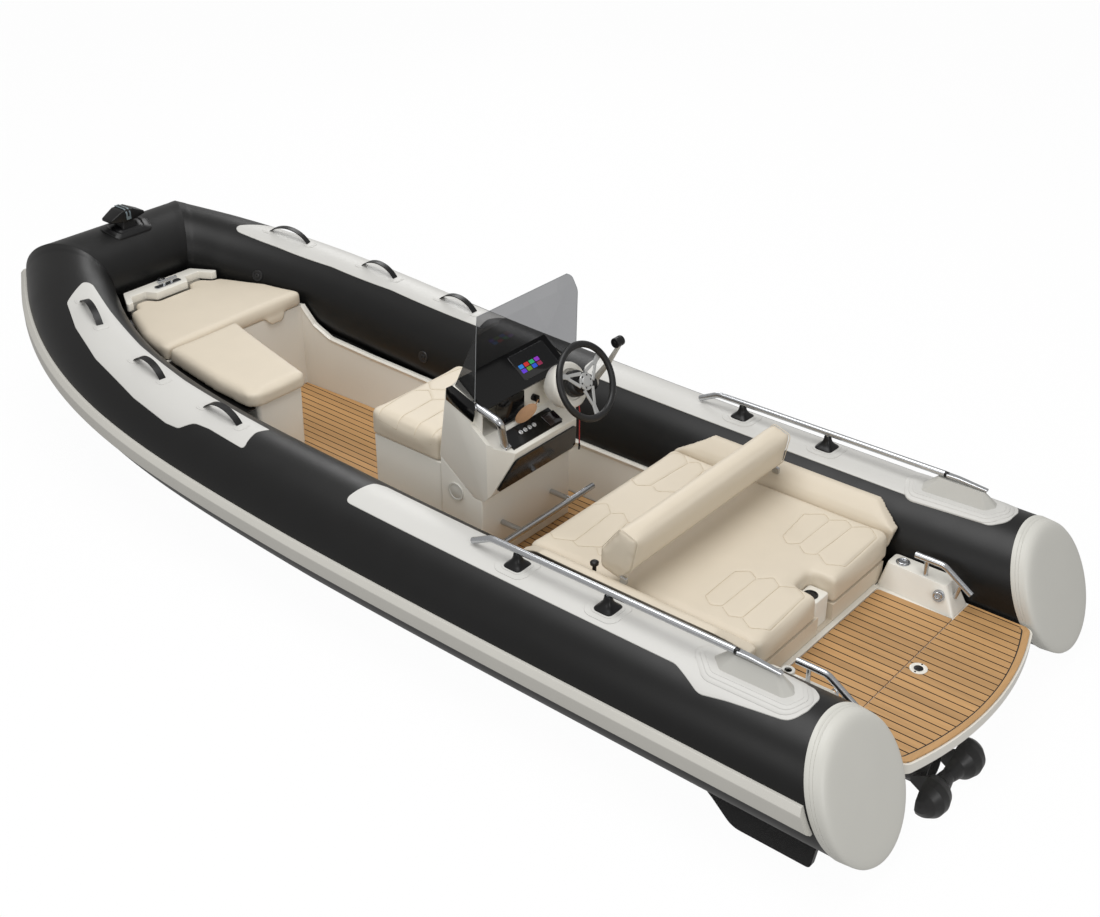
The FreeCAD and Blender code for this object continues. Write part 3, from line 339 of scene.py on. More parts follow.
# Cone caps: pale coated fabric over the raked stern ends, a tapered band, a raised seam and a
# nearly flat face.
pale = finish("pale_rubber", "#d3d2cc", 0.42, 0.03, 6, 0.25)
pale_cap = finish("cap_rubber", "#cfcec7", 0.45, 0.03, 6, 0.25)
cap_steps = np.array([(53, 238), (52, 241.5), (49, 242.2), (34.5, 241.2), (33.5, 239.6), (32.5, 241), (22.5, 240.2),
                      (21.5, 238.6), (20.5, 240), (6, 238.8), (-3, 237), (-10, 232), (-15, 224), (-18, 213),
                      (-19.8, 196), (-21, 160), (-22, 100), (-22.3, 60), (-22.4, 1)])
cap_out, cap_up = (cap_steps[:, 1:] * part for part in circle(1.0))
cap = np.stack([cap_steps[:, :1] + RAKE * cap_up, 741 + cap_out, 287 + cap_up], -1)
skin("cone_caps", both(cap), pale_cap, "pale_rubber", ["end_caps"])


# Rubbing strakes: pale solid rubber glued along the outside of the tubes, flat faced, with a
# wide bevel above and a narrow one below.
def rounded(points, radius=0.0, steps=6):
    """Closed outline of corners (x, y[, r]), each turned into an arc: c + (p - c) cos a + ..., in the plane."""
    pts = [np.array(p[:2], float) for p in points]
    radii = [p[2] if len(p) > 2 else radius for p in points]
    line = []
    for i, here in enumerate(pts):
        before, after = pts[i - 1] - here, pts[(i + 1) % len(pts)] - here
        a, b = np.linalg.norm(before), np.linalg.norm(after)
        u, v = before / a, after / b
        half = 0.5 * math.acos(float(np.clip(u @ v, -1.0, 1.0)))
        if radii[i] <= 0.0 or abs(half - math.pi / 2) < 1e-4:
            line.append(here[None])
            continue
        back = min(radii[i] / math.tan(half), 0.49 * a, 0.49 * b)
        r = back * math.tan(half)
        middle = here + (u + v) / np.linalg.norm(u + v) * (r / math.sin(half))
        start, end = here + u * back - middle, here + v * back - middle
        turn = math.pi - 2 * half
        k = np.linspace(0, 1, steps + 1)[:, None]
        line.append(middle + (np.sin((1 - k) * turn) * start + np.sin(k * turn) * end) / math.sin(turn))
    return np.concatenate(line)


strake_line = rounded([(-12, 47), (8, 47, 4), (28, 25, 6), (28, -33, 6), (8, -47, 4), (-12, -47)], steps=4)
strake_line = np.concatenate([np.linspace(a, b, 4)[:-1] for a, b in zip(strake_line, np.roll(strake_line, -1, 0))])


def strake_section(r):
    """The strake's section beside a tube of radius r."""
    return r + strake_line[:, 0], strake_line[:, 1]


strake_rubber = finish("strake_rubber", "#c6c4bd", 0.45, 0.04, 6, 0.2)
strake = along_tube(strake_section, 63.0, 130)
skin("side_strakes", both(strake), strake_rubber, "pale_rubber", ["strakes"])
bow_end = at_mitre(*strake_section(R_BOW))
band = bow_end * (1 - across) + other_side(bow_end) * across
skin("bow_strake", [band], strake_rubber, "pale_rubber", ["strake_bow"])


# Patches: near-white reinforcing sheets glued over the tops of the tubes, 3 mm thick with a
# soft edge.
def on_tube(plan, extra):
    """Points of the port tube's top that lie above plan points: |p - axis| = radius + extra, by iteration."""
    x, out = plan[..., 0], plan[..., 1] - axis(plan[..., 0])[..., 1]
    for _ in range(9):
        ahead, outward, upward = heading(x)
        up = np.sqrt(np.maximum(1, (girth(x) + extra) ** 2 - out ** 2))
        out = (plan[..., 1] - axis(x)[..., 1] - upward[..., 1] * up) / outward[..., 1]
        x = plan[..., 0] - outward[..., 0] * out - upward[..., 0] * up
    return beside(x, out, np.sqrt(np.maximum(1, (girth(x) + extra) ** 2 - out ** 2)))


def filled(line, corners, nu, nv):
    """Coons surface of a closed outline: (1-t) A(s) + t C(s) + (1-s) D(t) + s B(t) - its bilinear corners."""
    def side(a, b, at):
        run = line[a:b + 1] if b > a else np.concatenate([line[a:], line[:b + 1]])
        way = np.concatenate([[0.0], np.cumsum(np.linalg.norm(np.diff(run, axis=0), axis=1))])
        return np.stack([np.interp(at * way[-1], way, run[:, k]) for k in (0, 1)], -1)

    def shares(count):
        rim = np.array([0.0015, 0.004])  # extra rows close to the edges
        return np.unique(np.concatenate([np.linspace(0, 1, count), rim, 1 - rim]))

    s, t = shares(nu), shares(nv)
    c0, c1, c2, c3 = corners
    a, b = side(c0, c1, s), side(c1, c2, t)
    c, d = side(c2, c3, 1 - s), side(c3, c0, 1 - t)
    S, T = s[:, None, None], t[None, :, None]
    flat = ((1 - S) * (1 - T) * a[0] + S * (1 - T) * a[-1] + S * T * b[-1] + (1 - S) * T * d[-1])
    return (1 - T) * a[:, None] + T * c[:, None] + (1 - S) * d[None] + S * b[None] - flat, s, t


def patch(points, ends, nu, nv, thick=3.0):
    """A sheet on the tube from corners (x, share of the radius, round), its border sunk into the tube."""
    def spot(x, share):
        return beside(x, share * girth(x), 0.0)[:2]

    line = rounded([(*spot(x, share), r) for x, share, r in points], steps=8)
    picks = [int(np.argmin(np.linalg.norm(line - spot(*end), axis=1))) for end in ends]
    plan, s, t = filled(np.roll(line, -picks[0], axis=0), [(p - picks[0]) % len(line) for p in picks], nu, nv)
    s, t = np.minimum(s, 1 - s)[:, None], np.minimum(t, 1 - t)[None, :]
    rise = np.where(np.minimum(s * nu, t * nv * 0.4) < 0.2, thick * 0.8, thick)
    return on_tube(plan, np.where((s < 1e-9) | (t < 1e-9), -4.0, rise))


fore_patch = patch([(4500, -0.36, 30), (4216, -0.45, 200), (3884, -0.42, 200), (3500, -0.37, 200), (2916, -0.33, 5),
                    (2924, -0.05, 60), (2904, 0.22, 40), (2884, 0.40, 25), (3110, 0.38, 60), (3196, 0.42, 60),
                    (3250, 0.63, 40), (3330, 0.66, 60), (3568, 0.62, 150), (3908, 0.53, 200), (4152, 0.43, 200),
                    (4335, 0.31, 50)], [(4500, -0.36), (2916, -0.33), (2884, 0.40), (4335, 0.31)], 120, 36)
aft_patch = patch([(2292, 0.38, 30), (2284, -0.30, 25), (2230, -0.39, 60), (260, -0.40, 60), (206, -0.20, 60),
                   (204, 0.15, 60), (232, 0.42, 70), (460, 0.53, 100), (560, 0.60, 70), (640, 0.46, 60),
                   (690, 0.38, 60)], [(2230, -0.39), (260, -0.40), (232, 0.42), (2292, 0.38)], 140, 36)
white_patch = finish("white_patch", "#cbcac6", 0.42, 0.02, 6, 0.2, 0.0003)
skin("fore_patches", both(fore_patch), white_patch, "pale_rubber", ["patches_forward"], around=False)
skin("aft_patches", both(aft_patch), white_patch, "pale_rubber", ["patches_aft"], around=False)

# Fittings on the tubes: white pads under the straps and boots, square flared boots, pump valves on the
# inner sides, and the pads round the stern housings. All are glued on.
X, Y, Z = np.eye(3)


def moved_in(outline, inset):
    """The outline with each point moved inwards by the inset, square to the line between its neighbours."""
    ahead = np.roll(outline, -1, 0) - np.roll(outline, 1, 0)
    ahead /= np.maximum(np.linalg.norm(ahead, axis=1, keepdims=True), 1e-9)
    turn = np.sum(outline[:, 0] * np.roll(outline[:, 1], -1) - np.roll(outline[:, 0], -1) * outline[:, 1])
    return outline + np.stack([-ahead[:, 1], ahead[:, 0]], -1) * np.sign(turn) * inset


def stepped(outline, levels, origin, axes=(X, Y, Z)):
    """Rings origin + a first + b second + h third axis of a plane outline (a, b), one for each (h, inset)."""
    first, second, normal = axes
    rings = [(moved_in(outline, inset), h) for h, inset in levels]
    return np.array([origin + r[:, :1] * first + r[:, 1:] * second + h * normal for r, h in rings])


def pad_on_tube(outline, levels):
    """Rings of a plan outline laid on the port tube, one for each (rise, inset)."""
    plan = np.array([moved_in(outline, inset) for _, inset in levels])
    return on_tube(plan, np.array([rise for rise, _ in levels])[:, None])


def disc(r, steps=32):
    """Closed outline r (cos a, sin a)."""
    return np.stack(circle(r, steps), -1)


def box(a0, a1, b0, b1, r, steps=5):
    """Rectangle with round corners."""
    return rounded([(a0, b0), (a1, b0), (a1, b1), (a0, b1)], r, steps)


def flared(x, y, base, rows):
    """Rings |a|^n + |b|^n = half^n at heights above the base, one for each (height, half, n)."""
    c, s = circle(1.0, 64)
    heights, halves, powers = (np.array(rows)[:, k:k + 1] for k in (0, 1, 2))
    r = halves / (np.abs(c) ** powers + np.abs(s) ** powers) ** (1 / powers)
    return np.stack([x + r * c, y + r * s, base + heights + 0 * r], -1)


def swept(path, section, above, sizes=1.0):
    """Section (a, b) carried along a path: p + s(i) (a side + b up), with side = ahead x above."""
    ahead = unit(np.gradient(path, axis=0))
    side = unit(np.cross(ahead, above))
    up = np.cross(side, ahead)
    grown = np.broadcast_to(sizes, len(path))[:, None, None]
    a, b = section[:, 0][None, :, None], section[:, 1][None, :, None]
    return path[:, None] + grown * (a * side[:, None] + b * up[:, None])


def spaced(path, step):
    """The same path with points a step apart along it."""
    way = np.concatenate([[0.0], np.cumsum(np.linalg.norm(np.diff(path, axis=0), axis=1))])
    at = np.linspace(0.0, way[-1], max(2, int(way[-1] / step)))
    return np.stack([np.interp(at, way, path[:, k]) for k in range(path.shape[1])], -1)


def softly(points, radius, step, arcs=8):
    """Path through points in space, a step apart, each inner corner bent as (1-k)^2 p + 2k(1-k) c + k^2 q."""
    points = [np.array(p, float) for p in points]
    line = [points[0][None]]
    for before, here, after in zip(points, points[1:], points[2:]):
        a, b = np.linalg.norm(before - here), np.linalg.norm(after - here)
        u, v = (before - here) / a, (after - here) / b
        half = 0.5 * math.acos(float(np.clip(u @ v, -1.0, 1.0)))
        back = min(radius / math.tan(half), 0.45 * a, 0.45 * b)
        k = np.linspace(0, 1, arcs + 1)[:, None]
        line.append((1 - k) ** 2 * (here + u * back) + 2 * k * (1 - k) * here + k ** 2 * (here + v * back))
    return spaced(np.concatenate([*line, points[-1][None]]), step)


boot_places = (1464.0, 1043.0)
pads = []
for ends in ((4340, 4124), (3780, 3568), (3256, 3032)):
    for x, step in zip(ends, (10.0, -10.0)):
        middle = beside(x + step, 0.0, girth(x + step))[:2]
        along = unit(heading(x + step)[0][:2])
        beside_it = np.array([-along[1], along[0]])
        oval = box(-27, 27, -34, 34, 20)
        pads.append(pad_on_tube(middle + oval[:, :1] * along + oval[:, 1:] * beside_it,
                                [(-2, 0), (4.4, 0), (5.4, 1.0), (5.4, 7.0), (6.6, 8.2), (6.8, 18)]))
for x in boot_places:
    for half, rise in ((76.0, 4.4), (55.0, 6.0)):
        pads.append(pad_on_tube(box(x - half, x + half, 745 - half * 0.9, 745 + half * 0.9, half * 0.55),
                                [(rise - 8, 0), (rise, 0), (rise + 1.2, 1.2), (rise + 1.2, half * 0.5)]))
housing_foot = rounded([(632, 742, 20), (560, 806, 30), (270, 800, 26), (248, 742, 20), (290, 682, 26), (600, 664, 26)])
pads.append(pad_on_tube(housing_foot, [(-2, -36), (4.4, -36), (5.6, -34.5), (5.6, -20), (8.0, -18.5), (8.4, -17),
                                       (8.4, -4), (10, -3), (10, 6)]))
skin("tube_pads", both(*pads), white_patch, "pale_rubber")
boots = [flared(x, 745, 529, [(-8, 42, 4.5), (4, 42, 4.5), (7, 40, 4.2), (13, 32, 3.8), (22, 24, 3.2),
                                  (32, 18.5, 2.6), (42, 16, 2.2), (52, 15, 2), (54, 13.5, 2), (54, 9.6, 2)])
         for x in boot_places]
black_piece("boots", both(*boots), "rail_boots")
valves = []
for x, up in ((4292.0, 60.0), (3160.0, 30.0)):
    ahead, outward, upward = heading(x)
    aim = (upward * up - outward * math.sqrt(girth(x) ** 2 - up ** 2)) / girth(x)
    levels = [(-6, 0), (3, 0), (5, 1.6), (5, 9), (2.2, 10.5), (2.2, 15), (7, 16.5), (8, 19), (8, 23), (4, 24)]
    valves.append(stepped(disc(29, 40), levels, axis(x) + aim * girth(x), (ahead, np.cross(aim, ahead), aim)))
skin("valves", both(*valves),
     finish("valve_plastic", "#262627", 0.34, 0.05, 20, 0.05, 0.0001), "black_plastic", ["tube_valves"])

# Rails on the tubes: polished tube of 26 mm that ends in a flat tapered blade on the stern housing.
steel = finish("polished_steel", "#c4c6c9", 0.25, 0.05, 4, 0, metal=1)
rail_path = softly([(1684, 745, 547), (1592, 745, 594), (1464, 745, 596), (512, 745, 601)], 60, 12)
rails = [swept(rail_path, disc(13, 36), Y)]
rails += [flared(x, 745, 560, [(0, 9, 2), (34, 9, 2)]) for x in boot_places]
blade_path = softly([(500, 745, 601), (452, 745, 602), (330, 745, 593)], 200, 8)
rails.append(swept(blade_path, box(-7, 7, -14, 14, 5), Y, np.linspace(1.0, 0.72, len(blade_path))))
skin("rails", both(*rails), steel, "polished_steel", ["grab_rails"])
plug = flared(0, 0, 0, [(-8, 12, 2), (8, 12, 2)])[..., [2, 1, 0]] + [506.0, 745, 601.0]
black_piece("rail_ends", both(plug))

# Bow roller: black rubber fairlead on a stepped round-cornered plate, with a steel wear strip.
nose = rounded([(4655, 106, 30), (4742, 134, 60), (4800, 110, 30), (4800, -110, 30), (4742, -134, 60),
                (4655, -106, 30)])


def on_bow(outline, levels):
    """Rings of a plan outline, shrunk about (4730, 0), on z = 609 + sqrt((R_BOW + rise)^2 - (x - CORNER_X)^2)."""
    rows, middle = [], np.array([4730.0, 0.0])
    for rise, share in levels:
        plan = middle + (outline - middle) * share
        rows.append(np.c_[plan, 609 + np.sqrt((R_BOW + rise) ** 2 - (plan[:, 0] - CORNER_X) ** 2)])
    return np.array(rows)


plate = on_bow(nose, [(-3, 1.0), (5, 1.0), (7.5, 0.98), (7.5, 0.80), (10.5, 0.77), (10.5, 0.71), (8.5, 0.69),
                      (8.5, 0.63), (11.5, 0.60), (11.5, 0.45)])
neck = np.array([np.insert(box(4736 - a, 4736 + b, -c, c, 10), 2, z, axis=1)
                 for a, b, c, z in ((42, 42, 46, 800), (39, 40, 40, 826), (36, 40, 35, 846), (36, 40, 34, 880))])
reach = np.array([-104, -101, -92, -70, -45, -32, -12, 12, 32, 45, 70, 92, 101, 104], float)
share = np.abs(reach) / 104
top_line, low_line = 911 - 36 * np.maximum(0, share - 0.3) / 0.7, 849 + 13 * share ** 1.5
half_x = 47 - 9 * share ** 2
half_x[[0, -1]] -= 5.0
top_line[[0, -1]] -= 3.0
low_line[[0, -1]] += 3.0
wing = np.array([np.insert(box(4740 - h, 4740 + h, low, top, 6, 4), 1, y, axis=1)
                 for y, low, top, h in zip(reach, low_line, top_line, half_x)])
black_piece("bow_fairlead", [plate, neck, wing], "bow_roller")
strip_path = softly([(4784, 2, 914), (4706, 2, 914), (4690, 2, 900), (4690, 2, 862)], 20, 4)
strip = swept(strip_path, box(-1.6, 1.6, -14, 14, 1.2), Y)
strip_dark = swept(strip_path[3:-4], box(-2.6, 2.6, -5.5, 5.5, 1.2), Y)
skin("wear_strip", [strip], finish("strip_steel", "#7f8c92", 0.35, 0.05, 20, 0.05, 0.0001, metal=0.6), "anodised")
black_piece("strip_slot", [strip_dark])


# Painted shade: a black sheet of the tube fabric from the tubes' inner sides to the bow seats' edges,
# under the cushions, that stands for the shade in the gaps between them.
def gap_shade_section(x):
    """Closed section from inside the port tube to 75 mm inboard of it, between z = 450 and 456."""
    middle = axis(x)
    inner = middle[:, 1] - np.sqrt(np.maximum(1, girth(x) ** 2 - (456 - middle[:, 2]) ** 2))
    return np.stack([np.stack([x, inner + d, 0 * x + z], -1)
                     for d, z in ((14, 456), (-75, 456), (-75, 450), (14, 450))], 1)


nose_gap_shade = np.array([[[x, y, z] for y, z in ((330, 456), (120, 456), (120, 450), (330, 450))]
                      for x in (4400.0, 4520.0, 4650.0)])
gap_shade_rows = [gap_shade_section(np.linspace(3260, 4610, 60)), other_side(gap_shade_section(np.linspace(3930, 4610, 40))), *both(nose_gap_shade)]
# Painted shade: this black sheet puts shade colour into the gaps between the tubes and the seats.
skin("bow_gap_shade", gap_shade_rows, fabric, "black_fabric")

# Hull: gloss black laminate, with the chine plates at the stern.
dress(finish("hull_gloss", "#070708", 0.3, 0.10, 4, 0.05, 0.0003, gleam=0.15), "hull", "stern_fins")

# Mouldings: off-white gelcoat over laminate, for the cockpit liner, platform, lockers and helm.
gelcoat = finish("gelcoat", "#e6e3da", 0.32, 0.025, 3, 0.08, clear=0.25)


def eased(node):
    """Copy of a CAD node in gelcoat, whose sharp edges are turned into arcs of 6 mm."""
    mesh = nodes[node].data.copy()
    mesh.materials.clear()
    if "custom_normal" in mesh.attributes:
        mesh.attributes.remove(mesh.attributes["custom_normal"])
    with opened(mesh) as work:
        bmesh.ops.remove_doubles(work, verts=work.verts, dist=2e-5)
        bmesh.ops.dissolve_limit(work, angle_limit=0.02, verts=work.verts, edges=work.edges)
        crisp = [e for e in work.edges if len(e.link_faces) == 2 and e.calc_face_angle(0.0) > 0.5]
        bmesh.ops.bevel(work, geom=crisp, offset=0.006, offset_type="OFFSET", segments=3, profile=0.5,
                        affect="EDGES", clamp_overlap=True)
    mesh.shade_smooth()
    mesh.set_sharp_from_angle(angle=0.7)
    mesh.materials.append(gelcoat)
    placed("eased_" + node, mesh, [node])


for node in ("stern_mouldings", "bow_moulding", "side_box", "front_seat_box", "console_base", "console"):
    eased(node)
dress(gelcoat, "liner_sole", "liner_walls", "platform")


# Planking: oiled teak strips 38 mm apart with black caulking between them, along the boat.
def planked_wood(name):
    """Grain stretched along X, a tint for each plank and black lines at y = (i + 1/2) 38 mm."""
    made = finish(name, "#ba905e", 0.5, 0.18, 9.0, 0.3, 0.0006, stretch=(0.6, 9.0, 9.0))
    tree = made.node_tree
    shader = tree.nodes["Principled BSDF"]
    parts = add(tree, "SeparateXYZ", {"Vector": add(tree, "TexCoord").outputs["Object"]})

    def step(operation, *values):
        return add(tree, "Math", dict(enumerate(values)), operation=operation).outputs[0]

    across_planks = step("MULTIPLY_ADD", parts.outputs["Y"], 1 / 0.038, 0.5)
    away = step("ABSOLUTE", step("SUBTRACT", step("FRACT", across_planks), 0.5))
    line = step("GREATER_THAN", away, 0.5 - 2.4 / 38)
    chance = add(tree, "TexWhiteNoise", {"W": step("FLOOR", across_planks)}, noise_dimensions="1D")
    tone = add(tree, "HueSaturation", {"Color": shader.inputs["Base Color"].links[0].from_socket,
                                       "Value": step("MULTIPLY_ADD", chance.outputs["Value"], 0.24, 0.88)})
    caulk = add(tree, "Mix", {0: line, 6: tone.outputs["Color"], 7: linear("#1c1a18")}, data_type="RGBA")
    feed(shader, {"Base Color": caulk.outputs[2]})
    return made


dress(planked_wood("teak_planks"), "cockpit_teak", "platform_teak")


# Platform details: a teak margin along the bowed stern edge with black caulking inside it, and a
# flush white deck latch.
def stern_edge(inset):
    """Bowed stern edge moved in, corner arcs of radius 46 - inset tangent to the circle (y^2 + (cx - x)^2 = R^2)."""
    half, bow = 498 - inset, 86.0
    big = (half ** 2 + bow ** 2) / (2 * bow)
    cx, small = -30 + inset - bow + big, 46 - inset
    fy = half - small
    fx = cx - math.sqrt((big - small) ** 2 - fy ** 2)
    lean = math.atan2(fy, cx - fx)
    main = np.linspace(-lean, lean, 90)
    turn = np.linspace(lean, math.pi / 2, 12)[1:]
    arc = np.stack([cx - big * np.cos(main), big * np.sin(main)], -1)
    bend = np.stack([fx - small * np.cos(turn), fy + small * np.sin(turn)], -1)
    return np.concatenate([bend[::-1] * [1.0, -1.0], arc, bend])


def edging(section):
    """Closed section of (inset, z) points carried along the stern edge."""
    return np.stack([np.insert(stern_edge(inset), 2, z, axis=1) for inset, z in section], 1)


teak_margin = finish("teak_margin", "#bd9463", 0.5, 0.16, 9, 0.3, 0.0005, stretch=(9, 0.8, 9))
skin("margin", [edging([(8, 234), (8, 239.6), (9, 240.4), (28, 240.4), (29, 239.8), (29, 234)])], teak_margin, "teak")
skin("margin_caulk", [edging([(29, 234), (29, 239.6), (33, 239.6), (33, 234)])],
     finish("caulking", "#241f1a", 0.6, 0.1, 60, 0.3, 0.0003), "black_fabric")
latch_spot = np.array([187.0, 0.0, 239.3])
latch_ring = stepped(disc(33, 48), [(-1, 0), (2.8, 0), (3.8, 1.2), (3.8, 11), (2.6, 12.5), (2.6, 20)], latch_spot)
skin("latch_plate", [latch_ring], gelcoat, "gelcoat")
latch_core = [stepped(disc(17.5, 32), [(1, 0), (3.4, 0), (4, 0.8)], latch_spot)]
latch_core += [stepped(disc(4, 16), [(1, 0), (4.2, 0), (4.5, 0.6)], latch_spot + y * Y) for y in (-27, 27)]
black_piece("latch_core", latch_core)

# Staff socket: a pale collar round a black bore, pressed into the port stern block.
socket = np.array([487.0, 420.0, 331.3])
collar = stepped(disc(25, 40), [(-2, 0), (6.5, 0), (8, 1.4), (8, 9.5), (6.4, 11.2), (-30, 11.4)], socket)
skin("socket_collar", [collar], pale, "pale_rubber", closed=False)
lining = stepped(disc(13.4, 32), [(6.2, 0), (-44, 0), (-44, 13)], socket)
black_piece("socket_lining", [lining], closed=False)

# Notch fitting under the aft seat: a pale moulded housing with a round black opening on top.
housing = stepped(box(596, 685, -42, 58, 14), [(251, 0), (364, 0), (370, 2), (373, 7)], (0, 0, 0))
skin("notch_housing", [housing], gelcoat, "gelcoat", ["tow_post"])
opening = stepped(disc(30, 40), [(-2, 1), (3, 0), (5, 2), (5, 5), (1.2, 7), (1.2, 12)], (642, 22, 373))
black_piece("notch_opening", [opening])

# Polished fittings: stainless steel bars and cast fittings, bolted through their carriers.
dress(steel, "bow_cleat", "stern_handles", "deck_fittings", "foot_rail")
dress(finish("cast_engine", "#4a4c4e", 0.5, 0.1, 12, 0.3, 0.0006, metal=0.5), "engine")

# Plastic and rubber fittings: black mouldings on the tubes, helm and jet.
dress(black_plastic, "handle_straps", "throttle_box", "reverse_bucket", "steering_nozzle", "jet_housing",
      "helm_switches")
dress(finish("boarding_plate", "#8b8d8e", 0.4, 0.06, 15, 0.1, 0.0003, metal=0.5), "ladder_plate")
dress(finish("housing_rubber", "#bbbab4", 0.42, 0.03, 6, 0.25), "fairlead_housings")

# Dark gloss panels of the helm: dash, switch strip and glovebox door.
gloss = finish("dark_gloss", "#070708", 0.13, 0.2, 5, 0.02, 0.0001, gleam=0.4)
dress(gloss, "dash_screen", "switch_panel", "glovebox_door")

# Windscreen: grey tinted acrylic bent round the console, 6 mm thick in the solid, shown as three
# flat panes with bright sawn edges.
port_pane = rounded([(2197, 842), (2065, 1129), (2066, 1186), (2073, 1090), (2080, 954), (2088, 806), (2187, 790)])
far_pane = rounded([(2197, 842), (2065, 1129), (2068, 1186), (2040, 1186, 30), (2009, 1131, 50), (2015, 870, 40),
                    (2093, 801), (2187, 790)], steps=8)
pane_y = 278.0
panes = [np.insert(p, 1, y, axis=1) for p, y in ((port_pane, pane_y), (far_pane, -pane_y))]
front_pane = [(x, y, z) for x, z in ((2197, 842), (2065, 1129), (2068, 1186)) for y in (pane_y, -pane_y)]
glass_mesh = bpy.data.meshes.new("screen_panes")
count, total = len(port_pane), len(port_pane) + len(far_pane)
glass_mesh.from_pydata(np.concatenate(panes + [front_pane]) / 1000, [], [
    list(range(count)), list(range(count, total))[::-1],
    *([total + k for k in quad] for quad in ((0, 1, 3, 2), (2, 3, 5, 4)))])
tinted, tree = bare("tinted_acrylic")
cloud = add(tree, "TexNoise", {"Vector": add(tree, "TexCoord").outputs["Object"], "Scale": 3.0})
shade = add(tree, "Mix", {0: cloud.outputs["Fac"], 6: (0.30, 0.302, 0.31, 1.0), 7: (0.34, 0.342, 0.35, 1.0)},
            data_type="RGBA")
haze = add(tree, "BsdfDiffuse", {"Color": (0.5, 0.5, 0.5, 1.0)})
cloudy = mixed(tree, 0.035, add(tree, "BsdfTransparent", {"Color": shade.outputs[2]}), haze)
mirror = mixed(tree, 0.05, cloudy, add(tree, "BsdfGlossy", {"Roughness": 0.05}))
add(tree, "OutputMaterial", {"Surface": mirror.outputs[0]})
glass_mesh.materials.append(tinted)
placed("screen_panes", glass_mesh, ["windscreen"])
rims = [swept(spaced(side[2:-1], 6.0), disc(1.3, 8), Y) for side in panes]
brow = np.stack([np.full(60, 2068.0), np.linspace(pane_y, -pane_y, 60), np.full(60, 1186.0)], -1)
rims.append(swept(brow, disc(1.3, 8), Z))
skin("screen_edges", rims, finish("acrylic_edge", "#8d9093", 0.25, 0.1, 20, 0.05, 0.0002), "smoked_glass")


# Dash: a gloss black plate with a flush display that shows eight plain coloured squares, black
# inserts on the arms, and a strip of push buttons below the open cubby.
def sloped(across, rise, x, z, thick):
    """Zero point at thick above (x, z), and axes of a plane that climbs forward by rise over across."""
    ahead = unit(np.array([across, 0.0, rise]))
    above = np.cross(ahead, Y)
    return [x, 0.0, z] + above * thick, (ahead, Y, above)


dash_zero, dash_axes = sloped(127.0, 98.0, 2060.0, 774.0, 12.0)
frame_ring = stepped(box(18, 142, -232, -8, 9), [(-1, 0), (1.2, 0), (2, 1), (2, 4)], dash_zero, dash_axes)
skin("display", [frame_ring], finish("display_glass", "#08080a", 0.08, 0.2, 6, 0.02, 0.0001, clear=0.8), "dark_gloss")
squares = [("#2d78c8", "#c22c2c", "#2aa36a", "#8a34b8"), ("#5c34c4", "#5f8a26", "#2b52c6", "#8a2a4c")]
for row, codes in enumerate(squares):
    for column, code in enumerate(codes):
        b = -26 - 33 * column
        a = 71 - 22 * row
        tile = stepped(box(a, a + 18, b - 27, b, 3), [(1.9, 0), (2.5, 0), (2.6, 0.6)], dash_zero, dash_axes)
        colour = finish("square_%d_%d" % (row, column), code, 0.3, 0.25, 60.0, 0.02, 0.0001)
        feed(colour.node_tree.nodes["Principled BSDF"], {"Emission Color": linear(code), "Emission Strength": 0.35})
        skin("square_%d_%d" % (row, column), [tile], colour, "dark_gloss")
insert = np.array([(2236, 826), (2204, 848), (2080, 806), (2083, 752), (2093, 716), (2239, 772)], float)
inserts = stepped(rounded(insert, 4, 4), [(-1, 0), (1.6, 0), (2.4, 1)], 287 * Y, (X, Z, Y))
skin("arm_inserts", both(inserts), gloss, "dark_gloss")
shelf_zero, shelf_axes = sloped(115.0, 57.0, 1945.0, 584.0, 7.2)
levels = [(-1, 0), (2.2, 0), (3.0, 0.8), (3.0, 2.2), (2.4, 3.0), (3.4, 6.5)]
buttons = [stepped(disc(10.5, 28), levels, shelf_zero + shelf_axes[0] * 68 + Y * y, shelf_axes)
           for y in (97.0, 69.0, 41.0, 13.0)]
button_steel = finish("button_steel", "#c9cacb", 0.28, 0.05, 30, 0.05, 0.0002, metal=0.7)
skin("push_buttons", buttons, button_steel, "anodised")
readout = stepped(box(24, 84, -128, -50, 4), [(-1, 0), (1.4, 0), (1.8, 0.6)], shelf_zero, shelf_axes)
skin("readout", [readout], finish("readout_glass", "#1a1216", 0.1, 0.2, 6, 0.02, 0.0001, clear=0.7), "dark_gloss")

cubby = stepped(box(8, 184, 648, 768, 10), [(-1, 0), (1.5, 0), (2, 0.8)], (2059.6, 0, 0), (Y, Z, -X))
skin("cubby_back", [cubby], gloss, "dark_gloss")

# Grab bar at the port corner of the helm: polished tube with square feet, bolted to the arm and
# to the shelf.
bar_path = softly([(2095, 264, 782), (1971, 258, 744), (1990, 211, 610)], 34, 4)
bar = swept(bar_path, disc(16.5, 24), Y)
foot = stepped(box(-20, 20, -17, 17, 5), [(-3, 0), (10, 0), (13, 2.5)], (1992, 206, 604), shelf_axes)
head = stepped(box(-20, 20, -17, 17, 5), [(-3, 0), (9, 0), (12, 2.5)], (2094, 268, 786), dash_axes)
skin("grab_bar", [bar, foot, head], steel, "polished_steel", ["console_grab_bar"])

# Key tag: a stiff plain leather oval that leans beside the lock.
tag_across, tag_up = np.array([[0.37, 0.734, -0.571], [0.747, 0.13, 0.652]])
tag_normal = np.cross(tag_across, tag_up)
tag = stepped(disc(1, 40) * [55.0, 26.0], [(-1.6, 1), (-1, 0), (1, 0), (1.6, 1)],
              (2014, 49, 686), (tag_across, tag_up, tag_normal))
tongue = swept(np.linspace((1996, 12, 714), (2028, -48, 707), 8), box(-0.8, 0.8, -2.5, 2.5, 0.5), X)
skin("leather_tag", [tag, tongue], finish("tag_leather", "#a07a57", 0.6, 0.15, 60, 0.4),
     "tan_leather", ["key_tag"])

